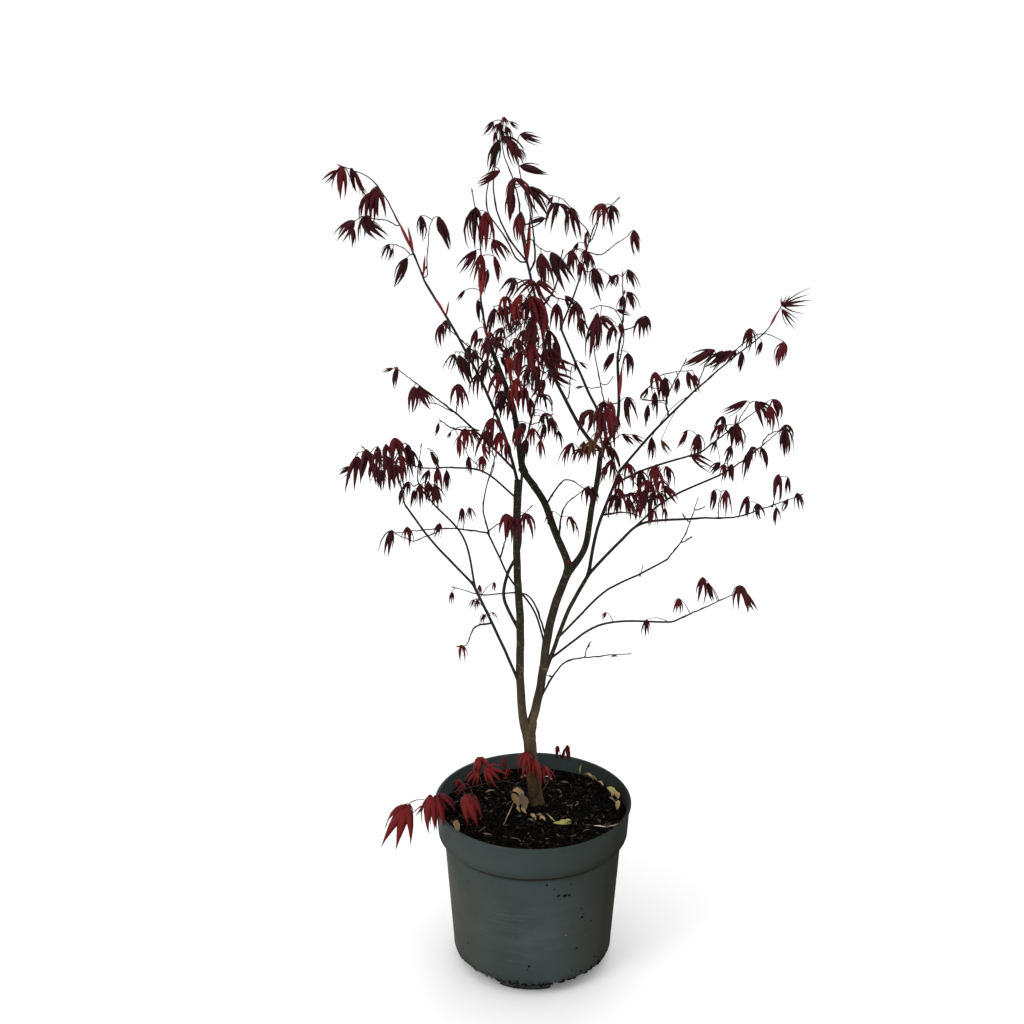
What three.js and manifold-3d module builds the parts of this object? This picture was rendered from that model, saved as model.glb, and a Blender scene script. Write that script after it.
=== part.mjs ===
// A young Japanese maple in a round plastic nursery pot, in millimetres with +Z up.
// The origin is the middle of the pot's flat underside. -Y is the plant's front and +X its right.
//
// Limbs are round tapering tubes that leave a parent limb at its side or at its tip.
// Each mass of foliage is one solid: a stem that goes on from a limb, side twigs in opposite pairs,
// and drooping five-lobed leaves that hang from the nodes like half-closed umbrellas.
import * as THREE from "three";
import { mergeVertices } from "three/addons/utils/BufferGeometryUtils.js";
import Module from "manifold-3d";

const wasm = await Module();
wasm.setup();

// ---------------------------------------------------------------- driving dimensions

const GAP = 0.3; // air between two pieces that touch on the real plant
const SEAT_STEP = 0.05; // how finely the place of that gap is sought along a limb's first direction

const POT = {
  height: 250,
  rimRadius: 140, // outer edge of the rolled rim
  bandHeight: 48, // the collar under the rim
  bandFootRadius: 134.5,
  neckRadius: 126, // body just under the collar
  baseRadius: 113, // body at its lower edge
  footRadius: 101, // the ring that it stands on
  footHeight: 8,
  floor: 3,
  wall: 2.2,
  notches: 6, // drain gaps in the foot ring
  notchWidth: 14,
  sides: 30,
};

const SOIL_TOP = 228; // level of the compost, and of the flat cut under the trunk

const TRUNK_FLARE = 4; // how much the root flare adds to the trunk's radius at the compost
const FLARE_SHARE = 0.22; // the share of the trunk's length over which it dies away
const LIMB_STEP = 34; // length of one straight facet of a limb

const LEAF = {
  length: 42, // from the end of the leaf stalk to the tip of the longest lobe
  stalk: 13,
  lobes: 5,
  notchRadius: 3.4, // where two lobes part
  open: 0.62, // half angle of the hanging umbrella, in radians
  stalkRadius: 0.5,
};

const TWIG_TIP_RADIUS = 1.2;
const CLEARANCE = 1.1; // least air between a leaf or twig and another node
const LEAF_TRIES = 3; // how often a leaf is swung round its node before it is left out
const UP = new THREE.Vector3(0, 0, 1);

const COLOURS = {
  pot: 0x3d4545,
  soil: 0x1d1815,
  bark: 0x4b4534,
  youngBark: 0x3a362c,
  foliage: 0x4a1218,
  redFoliage: 0x8a2226,
};

// Limbs: [name, parent, share of the parent's length where it leaves, points on its way and its tip,
// radius at its root, radius at its tip, sides]. The first one stands on the compost.
const LIMBS = [
  ["trunk", null, 0, [[6, 22, SOIL_TOP + GAP], [-1, 17, 290], [-7, 12, 362]], 9.6, 8.6, 12],
  ["left_stem", "trunk", 1, [[-17, 6, 413], [-20, -2, 520], [-23, -4, 626], [-22, 2, 722]], 6, 4.6, 8],
  ["right_stem", "trunk", 1, [[9, 14, 401], [19, 18, 486], [30, 18, 540], [49, 12, 596]], 6.2, 5.6, 8],
  ["loop_branch", "left_stem", 0.42,
    [[-38, 2, 556], [-34, 12, 585], [-20, 32, 616], [-20, 66, 660], [-10, 125, 741]], 2.4, 1.8, 6],
  ["cross_limb", "right_stem", 1, [[27, 20, 646], [13, 24, 682], [-18, 32, 730]], 5, 4.6, 8],
  ["left_leader", "cross_limb", 1, [[-20, 34, 761], [-28, 34, 809], [-61, 34, 903]], 4.4, 2.8, 8],
  ["right_leader", "right_stem", 1, [[67, 5, 623], [77, -8, 700], [86, -18, 769]], 4.6, 3.3, 8],
  ["inner_bough", "right_leader", 1, [[70, -24, 786], [40, -43, 838], [13, -58, 895]], 2.6, 2, 6],
  ["top_leader", "inner_bough", 1, [[5, -55, 947], [-11, -45, 1017]], 1.9, 1.5, 6],
  ["right_inner_bough", "right_leader", 1, [[106, -3, 800], [107, 18, 886]], 2.4, 1.8, 6],
  ["back_inner_bough", "right_leader", 0.9,
    [[93, 14, 782], [68, 68, 838], [36, 110, 902]], 2.2, 1.6, 6],
  ["outer_stem", "right_stem", 0.3, [[31, 24, 483], [49, 30, 525], [77, 38, 578]], 3.1, 2.7, 6],
  ["upright_stem", "outer_stem", 1, [[86, 50, 635], [117, 64, 717]], 2.5, 2, 6],
  ["upper_right_bough", "upright_stem", 1, [[155, 78, 759], [215, 96, 816]], 1.9, 1.5, 6],
  ["upper_mid_right_bough", "upright_stem", 0.86, [[150, 56, 720], [221, 34, 750]], 1.6, 1.3, 6],
  ["right_bough", "outer_stem", 1, [[116, 22, 628], [145, 10, 659], [219, -10, 673]], 2.3, 1.5, 6],
  ["mid_right_bough", "right_bough", 0.52, [[178, -14, 702], [238, -40, 742]], 1.5, 1.3, 6],
  ["low_right_back_bough", "outer_stem", 0.4, [[93, 58, 535], [190, 100, 574]], 1.7, 1.3, 6],
  ["low_right_front_bough", "outer_stem", 0.22, [[89, -15, 523], [179, -75, 552]], 1.7, 1.3, 6],
  ["low_left_bough", "left_stem", 0.2, [[-53, -14, 514], [-83, -26, 589]], 2.2, 1.9, 6],
  ["left_outer_bough", "low_left_bough", 1, [[-124, -38, 638], [-167, -52, 705]], 1.7, 1.4, 6],
  ["left_inner_bough", "low_left_bough", 0.93, [[-94, -6, 645], [-135, 8, 688]], 1.5, 1.3, 6],
  ["crossing_twig", "right_stem", 0.5, [[-1, -17, 547], [-36, -40, 606], [-61, -65, 672]], 1.5, 1.3, 6],
  ["level_left_twig", "left_stem", 0.93, [[-68, -22, 742], [-110, -35, 751]], 1.4, 1.2, 6],
  ["far_left_bough", "left_stem", 1, [[-48, 26, 795], [-98, 70, 895], [-144, 95, 966]], 2.2, 1.6, 6],
  ["left_mid_bough", "far_left_bough", 0.06, [[-62, -30, 783], [-100, -60, 830]], 1.7, 1.3, 6],
];

// Masses of foliage: the limb and the share of its length where the stem meets it, the points on the
// stem's way and its tip, the number of nodes, the longest side twig (0 is none), the leaves' size as
// a share of LEAF.length (0 is bare), and the seed.
const MASSES = [
  ["left_outer_foliage", "left_outer_bough", 1, [[-178, -58, 750], [-214, -72, 786]], 4, 44, 0.95, 3],
  ["left_inner_foliage", "left_inner_bough", 1, [[-154, 14, 715], [-150, 20, 760]], 3, 34, 0.85, 5],
  ["level_left_foliage", "level_left_twig", 1, [[-140, -42, 752], [-176, -30, 756]], 3, 30, 0.85, 8],
  ["crossing_left_foliage", "crossing_twig", 1, [[-109, -82, 684], [-190, -104, 690]], 3, 20, 0.72, 4],
  ["crossing_top_foliage", "crossing_twig", 0.96, [[-66, -86, 716], [-50, -98, 786]], 3, 24, 0.7, 6],
  ["stem_front_foliage", "crossing_twig", 0.8, [[-30, -84, 688], [-8, -92, 714]], 2, 20, 0.85, 2],
  ["left_mid_foliage", "left_mid_bough", 1, [[-137, -84, 866], [-186, -104, 908]], 3, 26, 0.9, 9],
  ["left_near_foliage", "left_mid_bough", 0.7, [[-100, -72, 812], [-116, -120, 836]], 3, 30, 0.85, 14],
  ["far_left_foliage", "far_left_bough", 1, [[-172, 108, 1030], [-214, 120, 1098], [-262, 126, 1118]],
    4, 30, 0.85, 3],
  ["top_foliage", "top_leader", 1, [[-36, -42, 1050], [-52, -34, 1100], [-42, -28, 1180]], 4, 30, 0.85, 7],
  ["top_centre_foliage", "top_leader", 0.9, [[-2, -78, 1030], [-12, -84, 1110]], 4, 34, 1, 12],
  ["top_left_foliage", "left_leader", 1, [[-70, 46, 955], [-70, 58, 1020], [-80, 64, 1086]], 4, 34, 1, 21],
  ["leader_left_foliage", "left_leader", 0.66, [[-84, 80, 880], [-116, 118, 900]], 3, 36, 0.95, 11],
  ["leader_back_foliage", "left_leader", 0.42, [[-34, 100, 850], [-40, 160, 890]], 3, 40, 1, 17],
  ["top_right_foliage", "back_inner_bough", 1, [[59, 130, 958], [84, 146, 1040], [128, 158, 1072]],
    4, 40, 0.9, 5],
  ["middle_front_foliage", "inner_bough", 0.94, [[-6, -96, 930], [-12, -132, 985]], 4, 40, 0.95, 6],
  ["middle_back_foliage", "loop_branch", 1, [[6, 176, 790], [24, 224, 850]], 4, 44, 1, 10],
  ["right_inner_foliage", "right_inner_bough", 1, [[113, 26, 930], [112, 32, 985]], 3, 34, 0.9, 13],
  ["right_leader_foliage", "right_leader", 0.95, [[88, -80, 800], [82, -134, 850]], 4, 42, 0.95, 16],
  ["upright_front_foliage", "upright_stem", 0.72, [[138, 10, 702], [152, -60, 726]], 4, 40, 0.95, 19],
  ["right_near_foliage", "upper_right_bough", 0.7, [[176, 52, 820], [196, 36, 872]], 4, 34, 0.95, 20],
  ["upper_right_foliage", "upper_right_bough", 1, [[261, 104, 856], [316, 112, 902], [366, 118, 944]],
    4, 30, 0.95, 22],
  ["upper_mid_right_foliage", "upper_mid_right_bough", 1, [[252, 22, 780], [296, 4, 822]], 4, 30, 0.95, 25],
  ["mid_right_foliage", "mid_right_bough", 1, [[270, -50, 768], [320, -60, 824]], 4, 28, 0.9, 26],
  ["right_foliage", "right_bough", 1, [[264, -20, 678], [300, -30, 694], [350, -42, 716]], 4, 18, 0.85, 28],
  ["low_right_foliage", "low_right_front_bough", 1, [[218, -90, 578], [272, -104, 612]], 3, 18, 0.75, 29],
  ["bare_back_twigs", "low_right_back_bough", 1, [[213, 110, 604], [232, 118, 660]], 3, 34, 0, 31],
  ["bare_low_twigs", "right_stem", 0.17, [[43, -6, 463], [81, -30, 482], [128, -60, 500]], 3, 34, 0, 2],
  ["low_left_sprig", "low_left_bough", 0.62, [[-88, -52, 524], [-114, -66, 512]], 2, 0, 0.6, 33],
  ["pot_left_shoot", "trunk", 0.08, [[-34, -8, 284], [-86, -44, 300], [-150, -70, 290]], 3, 26, 1.15, 43],
  ["pot_front_shoot", "trunk", 0.1, [[8, -8, 262], [4, -24, 296]], 2, 0, 1, 36],
  ["pot_back_shoot", "trunk", 0.12, [[28, 50, 262], [48, 74, 282]], 2, 0, 0.55, 37],
];

const RED_MASSES = new Set(["pot_left_shoot", "pot_front_shoot", "middle_front_foliage"]);

// ---------------------------------------------------------------- solids and meshes

const vector = (p) => new THREE.Vector3(...p);

function solidFrom(geometry) {
  const bare = geometry.clone();
  bare.deleteAttribute("normal");
  bare.deleteAttribute("uv");
  const merged = mergeVertices(bare, 1e-4);
  return new wasm.Manifold(
    new wasm.Mesh({
      numProp: 3,
      vertProperties: new Float32Array(merged.attributes.position.array),
      triVerts: new Uint32Array(merged.index.array),
    }),
  );
}

// The largest body of a solid, so that a loose scrap is dropped and a sealed hollow is filled.
function largestBody(solid) {
  const bodies = solid.decompose();
  return bodies.reduce((best, body) => (body.volume() > best.volume() ? body : best));
}

function geometryFrom(solid) {
  const mesh = solid.getMesh();
  const geometry = new THREE.BufferGeometry();
  geometry.setAttribute("position", new THREE.BufferAttribute(mesh.vertProperties, 3));
  geometry.setIndex(new THREE.BufferAttribute(mesh.triVerts, 1));
  geometry.computeVertexNormals();
  return geometry;
}

const plant = new THREE.Group();

function addMesh(name, geometry, color, roughness) {
  const material = new THREE.MeshStandardMaterial({ color, roughness, metalness: 0 });
  const mesh = new THREE.Mesh(geometry, material);
  mesh.name = name;
  plant.add(mesh);
}

// ---------------------------------------------------------------- the pot and its compost

// The pot's inner wall from its floor to its lip, as (radius, height) points.
function innerWall() {
  const { wall, floor, height, bandHeight, neckRadius, baseRadius, rimRadius, footHeight } = POT;
  const neck = height - bandHeight;
  return [
    new THREE.Vector2(POT.footRadius - 9, floor),
    new THREE.Vector2(POT.footRadius - 4, footHeight + floor),
    new THREE.Vector2(baseRadius - wall, footHeight + floor + 2),
    new THREE.Vector2(neckRadius - wall, neck - 2),
    new THREE.Vector2(POT.bandFootRadius - wall, neck + 4),
    new THREE.Vector2(rimRadius - 2 * wall, height - 3),
  ];
}

function pot() {
  const { footRadius, footHeight, height, bandHeight, neckRadius, baseRadius, rimRadius } = POT;
  const neck = height - bandHeight;
  const outside = [
    [0, 0],
    [footRadius, 0],
    [footRadius, footHeight],
    [baseRadius, footHeight],
    [baseRadius + 1.5, footHeight + 4],
    [neckRadius, neck],
    [POT.bandFootRadius, neck],
    [rimRadius - 2, height - 6],
    [rimRadius, height - 4.5],
    [rimRadius, height - 1.2],
    [rimRadius - 1.2, height],
    [rimRadius - 3.4, height],
  ].map(([x, y]) => new THREE.Vector2(x, y));
  const profile = [...outside, ...innerWall().reverse(), new THREE.Vector2(0, POT.floor)];
  let solid = solidFrom(new THREE.LatheGeometry(profile, POT.sides).rotateX(Math.PI / 2));
  for (let i = 0; i < POT.notches; i++) {
    const turn = ((i + 0.5) / POT.notches) * 2 * Math.PI - Math.PI / 2;
    const notch = new THREE.BoxGeometry(40, POT.notchWidth, 2 * footHeight)
      .translate(footRadius + 5, 0, 0)
      .rotateZ(turn);
    solid = solid.subtract(solidFrom(notch));
  }
  return geometryFrom(largestBody(solid));
}

function compost() {
  const wall = innerWall();
  const upTo = wall.findIndex((p) => p.y > SOIL_TOP);
  const [low, high] = [wall[upTo - 1], wall[upTo]];
  const brim = low.clone().lerp(high, (SOIL_TOP - low.y) / (high.y - low.y));
  const side = [...wall.slice(0, upTo), brim].map((p) => new THREE.Vector2(p.x - 1.5 * GAP, p.y));
  side[0].y += GAP;
  side[1].y += GAP;
  side[2].y += GAP;
  const profile = [new THREE.Vector2(0, side[0].y), ...side, new THREE.Vector2(0, SOIL_TOP)];
  return new THREE.LatheGeometry(profile, POT.sides).rotateX(Math.PI / 2);
}

// ---------------------------------------------------------------- tapering tubes along a path

// A tube round a path: a cylinder whose rings are carried along the path with radius(share).
// With a seat {point, normal}, its first ring is slid along the path's first direction on to that plane.
function tube(path, radius, sides, steps, seat) {
  const geometry = new THREE.CylinderGeometry(1, 1, 1, sides, steps);
  const frames = path.computeFrenetFrames(steps, false);
  const position = geometry.attributes.position;
  const vertex = new THREE.Vector3();
  for (let i = 0; i < position.count; i++) {
    vertex.fromBufferAttribute(position, i);
    const ring = Math.round((vertex.y + 0.5) * steps);
    const share = ring / steps;
    const across = frames.normals[ring];
    const beside = across.clone().cross(frames.tangents[ring]);
    const placed = path.getPointAt(share);
    placed.addScaledVector(across, vertex.x * radius(share));
    placed.addScaledVector(beside, vertex.z * radius(share));
    if (seat && ring === 0) {
      const along = frames.tangents[0];
      const slide = seat.point.clone().sub(placed).dot(seat.normal) / along.dot(seat.normal);
      placed.addScaledVector(along, slide);
    }
    position.setXYZ(i, placed.x, placed.y, placed.z);
  }
  return geometry;
}

// ---------------------------------------------------------------- limbs

const limbs = new Map();
const occupied = []; // capsules {a, b, r, owner} round everything that is already in place

function claim(owner, points, radius) {
  for (let i = 0; i + 1 < points.length; i++)
    occupied.push({ a: points[i], b: points[i + 1], r: radius(i / (points.length - 1)), owner });
}

// The point of a limb's faceted surface line that lies nearest to a point, and the air between them.
function nearestOn(limb, point) {
  let best = { air: Infinity };
  for (let i = 0; i + 1 < limb.rings.length; i++) {
    const [low, high] = [limb.rings[i], limb.rings[i + 1]];
    const line = new THREE.Line3(low.centre, high.centre);
    const share = line.closestPointToPointParameter(point, true);
    const onAxis = line.at(share, new THREE.Vector3());
    const radius = low.radius + (high.radius - low.radius) * share;
    const air = point.distanceTo(onAxis) - radius;
    if (air < best.air) best = { air, onAxis };
  }
  return best;
}

// Where a child leaves its parent: the seat plane, which lies a gap off the parent's side or tip, and
// the child's first point on it. Two limbs on one tip stand side by side, so each is shifted sideways.
function seatOn(parent, share, towards, childRadius, shared) {
  const onAxis = parent.path.getPointAt(share);
  const axis = parent.path.getTangentAt(share);
  const leaving = towards.clone().sub(onAxis).normalize();
  if (share === 1) {
    const outward = leaving.clone().addScaledVector(axis, -leaving.dot(axis)).normalize();
    const point = onAxis.addScaledVector(axis, GAP);
    const stretch = childRadius / Math.max(leaving.dot(axis), 0.6) + GAP;
    if (shared) point.addScaledVector(outward, stretch);
    return { point, normal: axis };
  }
  const point = onAxis.clone();
  while (nearestOn(parent, point).air < GAP) point.addScaledVector(leaving, SEAT_STEP);
  return { point, normal: point.clone().sub(nearestOn(parent, point).onAxis).normalize() };
}

function growLimb([name, parentName, at, way, rootRadius, tipRadius, sides], shared) {
  const points = way.map(vector);
  const flare = parentName ? 0 : TRUNK_FLARE;
  const radius = (s) =>
    rootRadius + (tipRadius - rootRadius) * s + flare * Math.max(0, 1 - s / FLARE_SHARE) ** 2;
  let seat = { point: points[0], normal: UP.clone() };
  if (parentName) {
    seat = seatOn(limbs.get(parentName), at, points[0], rootRadius, shared);
    points.unshift(seat.point);
  }
  const path = new THREE.CatmullRomCurve3(points);
  const steps = Math.max(3, Math.round(path.getLength() / (parentName ? LIMB_STEP : LIMB_STEP / 2)));
  const rings = path.getSpacedPoints(steps).map((centre, i) => ({ centre, radius: radius(i / steps) }));
  limbs.set(name, { path, radius, rings });
  claim(name, path.getSpacedPoints(steps * 2), radius);
  const bark = rootRadius > 2.5 ? COLOURS.bark : COLOURS.youngBark;
  addMesh(name, tube(path, radius, sides, steps, seat), bark, 0.85);
}

// ---------------------------------------------------------------- foliage

// A repeatable stream of numbers from 0 to 1.
function numbers(seed) {
  let state = (seed * 7919 + 12345) % 2147483647;
  return () => {
    state = (state * 48271) % 2147483647;
    return state / 2147483647;
  };
}

// Whether two capsules come closer than an air gap.
function near(one, other, air) {
  const reach = one.r + other.r + air;
  const u = one.b.clone().sub(one.a);
  const v = other.b.clone().sub(other.a);
  const w = one.a.clone().sub(other.a);
  const [a, b, c, d, e] = [u.dot(u), u.dot(v), v.dot(v), u.dot(w), v.dot(w)];
  const clamp = THREE.MathUtils.clamp;
  const cross = a * c - b * b;
  let s = cross > 1e-9 ? clamp((b * e - c * d) / cross, 0, 1) : 0;
  const t = clamp((b * s + e) / c, 0, 1);
  s = clamp((b * t - d) / a, 0, 1);
  const apart = w.addScaledVector(u, s).addScaledVector(v, -t);
  return apart.lengthSq() < reach * reach;
}

// Whether a capsule keeps off the pot: above the compost, or clear of the rim's outside.
function clearOfPot({ a, b, r }) {
  return [a, b, a.clone().lerp(b, 0.5)].every((p) => {
    const across = Math.hypot(p.x, p.y);
    const air = r + CLEARANCE;
    const inside = p.z > SOIL_TOP + air && across < POT.bandFootRadius - POT.wall - air;
    return p.z > POT.height + air || across > POT.rimRadius + air || inside;
  });
}

// Whether new capsules keep off the pot and every other node, and their free ends off their own mass.
function isFree(owner, capsules) {
  return capsules.every((c) => {
    if (!clearOfPot(c)) return false;
    return !occupied.some((o) => (o.owner === owner ? c.free && near(c, o, 0) : near(c, o, CLEARANCE)));
  });
}

// A hanging leaf: a three-sided stalk from its root to the neck, and lobes round the hanging axis.
// The upper skin runs from the stalk's collar to the outline of lobe tips and notches, and the lower
// skin from the outline to one point inside the umbrella.
function leaf(root, outward, length, open) {
  const down = new THREE.Vector3(0, 0, -1);
  const stalkWay = outward.clone().multiplyScalar(0.85).addScaledVector(down, 0.53).normalize();
  const hang = outward.clone().multiplyScalar(0.3).addScaledVector(down, 0.95).normalize();
  const neck = root.clone().addScaledVector(stalkWay, (LEAF.stalk * length) / LEAF.length);
  const side = new THREE.Vector3().crossVectors(hang, outward).normalize();
  const front = new THREE.Vector3().crossVectors(side, hang).normalize();
  const around = (turn, radial, axial) =>
    neck
      .clone()
      .addScaledVector(front, Math.cos(turn) * radial)
      .addScaledVector(side, Math.sin(turn) * radial)
      .addScaledVector(hang, axial);
  const stalkSide = new THREE.Vector3().crossVectors(stalkWay, side).normalize();
  const triangle = (centre) =>
    [0, 1, 2].map((i) => {
      const turn = (i / 3) * 2 * Math.PI;
      return centre
        .clone()
        .addScaledVector(stalkSide, -Math.cos(turn) * LEAF.stalkRadius)
        .addScaledVector(side, Math.sin(turn) * LEAF.stalkRadius);
    });
  const corners = [...triangle(root), ...triangle(root.clone().lerp(neck, 0.85))];
  const outline = [];
  const tips = [];
  for (let i = 0; i < LEAF.lobes; i++) {
    const turn = (i / LEAF.lobes) * 2 * Math.PI;
    const reach = length * (0.72 + 0.28 * Math.cos(turn / 2) ** 2);
    const tip = around(turn, reach * Math.sin(open), reach * Math.cos(open));
    const notchTurn = turn + Math.PI / LEAF.lobes;
    outline.push(tip, around(notchTurn, LEAF.notchRadius, 0.16 * length));
    tips.push(tip);
  }
  const inner = neck.clone().addScaledVector(hang, 0.3 * LEAF.notchRadius + 0.08 * length);
  const first = corners.push(...outline, inner) - outline.length - 1;
  const count = outline.length;
  const last = corners.length - 1;
  const collarFor = (i) => 3 + (Math.round((((i + 0.5) % count) / count) * 3) % 3);
  const faces = [[0, 1, 2]];
  for (const [i, j] of [[0, 1], [1, 2], [2, 0]]) faces.push([i, i + 3, j], [j, i + 3, j + 3]);
  for (let i = 0; i < count; i++) {
    const here = first + i;
    const next = first + ((i + 1) % count);
    const before = collarFor((i + count - 1) % count);
    faces.push([collarFor(i), here, next], [last, next, here]);
    if (before !== collarFor(i)) faces.push([before, here, collarFor(i)]);
  }
  const geometry = new THREE.BufferGeometry();
  const flat = corners.flatMap((c) => c.toArray());
  geometry.setAttribute("position", new THREE.Float32BufferAttribute(flat, 3));
  geometry.setIndex(faces.flat());
  let solid = solidFrom(geometry);
  if (solid.volume() < 0) {
    geometry.setIndex(faces.flatMap((f) => [f[0], f[2], f[1]]));
    solid = solidFrom(geometry);
  }
  const capsules = tips.map((tip) => ({ a: neck.clone().lerp(tip, 0.15), b: tip, r: 1.6, free: true }));
  capsules.push({ a: root.clone().lerp(neck, 0.3), b: neck, r: 2 });
  return { solid, capsules };
}

// The stem of one mass, as a path with its radius and its solid.
function growStem([name, limbName, at, way]) {
  const limb = limbs.get(limbName);
  const points = way.map(vector);
  const rootRadius = Math.max(1.3, Math.min(1.7, 0.95 * limb.radius(at)));
  const seat = seatOn(limb, at, points[0], rootRadius, false);
  const path = new THREE.CatmullRomCurve3([seat.point, ...points]);
  const taper = (s) => rootRadius + (TWIG_TIP_RADIUS - rootRadius) * s;
  const steps = Math.max(3, Math.round(path.getLength() / LIMB_STEP));
  claim(name, path.getSpacedPoints(steps), taper);
  return { path, solid: solidFrom(tube(path, taper, 3, steps, seat)) };
}

function growMass([name, , , , nodes, twigLength, leafSize, seed], { path: stem, solid: bareStem }) {
  const next = numbers(seed);
  let solid = bareStem;

  const addLeaf = (root, outward) => {
    if (!leafSize) return;
    for (let attempt = 0; attempt < LEAF_TRIES; attempt++) {
      const length = LEAF.length * leafSize * (0.85 + 0.3 * next());
      const swung = outward.clone().applyAxisAngle(UP, attempt * (next() - 0.5) * 1.6);
      const made = leaf(root, swung, length, LEAF.open * (0.75 + 0.5 * next()));
      if (!isFree(name, made.capsules)) continue;
      solid = solid.add(made.solid);
      claimCapsules(name, made.capsules);
      return;
    }
  };

  // A side twig: one arc out of its node that rises a little, with leaves at its end or bare.
  const addTwig = (root, outward, along, length) => {
    const tip = root
      .clone()
      .addScaledVector(outward, length * 0.85)
      .addScaledVector(along, length * 0.45);
    tip.z += length * 0.1;
    const bend = root.clone().lerp(tip, 0.5).addScaledVector(along, -0.1 * length);
    const path = new THREE.CatmullRomCurve3([root, bend, tip]);
    const ends = [{ a: path.getPointAt(0.3), b: tip, r: 1.2, free: true }];
    if (!isFree(name, ends)) return;
    solid = solid.add(solidFrom(tube(path, () => TWIG_TIP_RADIUS, 3, 1)));
    claimCapsules(name, ends);
    const tipWay = path.getTangentAt(1);
    const sideways = new THREE.Vector3().crossVectors(tipWay, UP.clone()).normalize();
    addLeaf(path.getPointAt(0.94), sideways.clone().lerp(tipWay, 0.35).normalize());
    addLeaf(path.getPointAt(0.84), sideways.clone().negate().lerp(tipWay, 0.35).normalize());
  };

  for (let node = 0; node < nodes; node++) {
    const share = 0.2 + (0.78 * (node + 0.5 * next())) / Math.max(1, nodes - 0.5);
    const root = stem.getPointAt(Math.min(share, 0.98));
    const along = stem.getTangentAt(Math.min(share, 0.98));
    const across = UP.clone().cross(along).normalize();
    const turn = (node % 2) * (Math.PI / 2) + (next() - 0.5) * 0.9;
    across.applyAxisAngle(along, turn);
    for (const side of [1, -1]) {
      const outward = across.clone().multiplyScalar(side);
      const twig = twigLength * (0.55 + 0.6 * next()) * (1 - 0.35 * share);
      if (twigLength && (node + (side > 0)) % 2) addTwig(root, outward, along, twig);
      else addLeaf(root, levelled(outward));
    }
  }
  const end = stem.getTangentAt(1);
  const endRoot = stem.getPointAt(0.98);
  const beside = UP.clone().cross(end).normalize();
  addLeaf(endRoot, levelled(end.clone().lerp(beside, 0.45)));
  addLeaf(endRoot, levelled(end.clone().lerp(beside.negate(), 0.45)));
  if (!leafSize) addTwig(endRoot, beside, end, twigLength * 0.6);
  const color = RED_MASSES.has(name) ? COLOURS.redFoliage : COLOURS.foliage;
  addMesh(name, geometryFrom(largestBody(solid)), color, 0.6);
}

function claimCapsules(owner, capsules) {
  for (const capsule of capsules) occupied.push({ ...capsule, owner });
}

// A direction laid level, so that a leaf's stalk leaves its node sideways and the blade hangs.
function levelled(direction) {
  const level = direction.clone();
  level.z *= 0.25;
  if (level.lengthSq() < 1e-4) level.set(1, 0, 0);
  return level.normalize();
}

// ---------------------------------------------------------------- the whole plant

addMesh("pot", pot(), COLOURS.pot, 0.6);
addMesh("compost", compost(), COLOURS.soil, 0.95);
for (const row of LIMBS) {
  const twins = LIMBS.filter((other) => other[1] === row[1] && other[2] === 1).length;
  growLimb(row, row[2] === 1 && twins > 1);
}
// Every stem's place is kept before the first leaf is hung, so that no leaf crosses another stem.
const stems = MASSES.map(growStem);
MASSES.forEach((row, i) => growMass(row, stems[i]));

export default plant;
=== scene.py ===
"""A young Japanese maple in a round plastic nursery pot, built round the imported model's frame.

Every surface is worked out with numpy as a function of two parameters: round wood is a ring carried
along a path, a leaf lobe is a pointed section carried along a drooping midrib, and the pot is a
profile turned round its axis. All lengths are in metres, with +Z up and the pot's foot at the origin.
"""
import math

import bpy
import numpy as np
from bpy.props import FloatProperty, FloatVectorProperty, IntProperty, PointerProperty
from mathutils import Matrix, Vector


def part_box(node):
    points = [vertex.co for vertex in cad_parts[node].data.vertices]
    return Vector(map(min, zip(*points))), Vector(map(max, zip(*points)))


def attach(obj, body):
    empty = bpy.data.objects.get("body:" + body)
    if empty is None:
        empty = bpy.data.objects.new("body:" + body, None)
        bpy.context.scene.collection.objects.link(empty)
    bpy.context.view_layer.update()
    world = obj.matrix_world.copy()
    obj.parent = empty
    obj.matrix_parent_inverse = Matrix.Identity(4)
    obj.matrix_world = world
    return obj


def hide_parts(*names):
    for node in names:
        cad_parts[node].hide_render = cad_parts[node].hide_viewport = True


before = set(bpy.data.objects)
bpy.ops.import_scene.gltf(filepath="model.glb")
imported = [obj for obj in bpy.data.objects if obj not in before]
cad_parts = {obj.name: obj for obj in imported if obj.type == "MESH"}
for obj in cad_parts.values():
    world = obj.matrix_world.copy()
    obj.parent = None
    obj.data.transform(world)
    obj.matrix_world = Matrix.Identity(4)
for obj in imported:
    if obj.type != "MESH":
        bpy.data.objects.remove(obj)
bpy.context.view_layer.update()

bl_info = {
    "name": "Potted Japanese Maple",
    "version": (1, 0, 0),
    "blender": (4, 5, 0),
    "location": "View3D > Sidebar > Maple",
    "description": "Builds a young red-leaved maple in a nursery pot, with its wood, leaves and compost",
    "category": "Add Mesh",
}

MM = 0.001
UP = np.array([0.0, 0.0, 1.0])
POT_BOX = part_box("pot")
COMPOST_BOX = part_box("compost")
POT_HEIGHT = POT_BOX[1][2]
RIM_RADIUS = POT_BOX[1][0]
SOIL_TOP = COMPOST_BOX[1][2]
FOOT_RADIUS, FOOT_INSIDE, FOOT_HEIGHT = 98 * MM, 68 * MM, 20 * MM  # the ring that the pot stands on
WALL_FOOT = 114 * MM  # radius of the wall's lower edge
NECK_RADIUS, COLLAR_RADIUS = 126 * MM, 134.5 * MM  # below the collar and at the collar's lower edge
# The gaps in the foot ring: (turn from the front, half width), in degrees.
DRAIN_GAPS = ((-41, 12), (36, 20.5), (104, 15), (160, 14), (-112, 15), (-166, 13))
LIMB_SEED, BARK_SEED, LEAF_SEED = 3, 11, 23

# ------------------------------------------------------------------ the plant's plan

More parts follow.
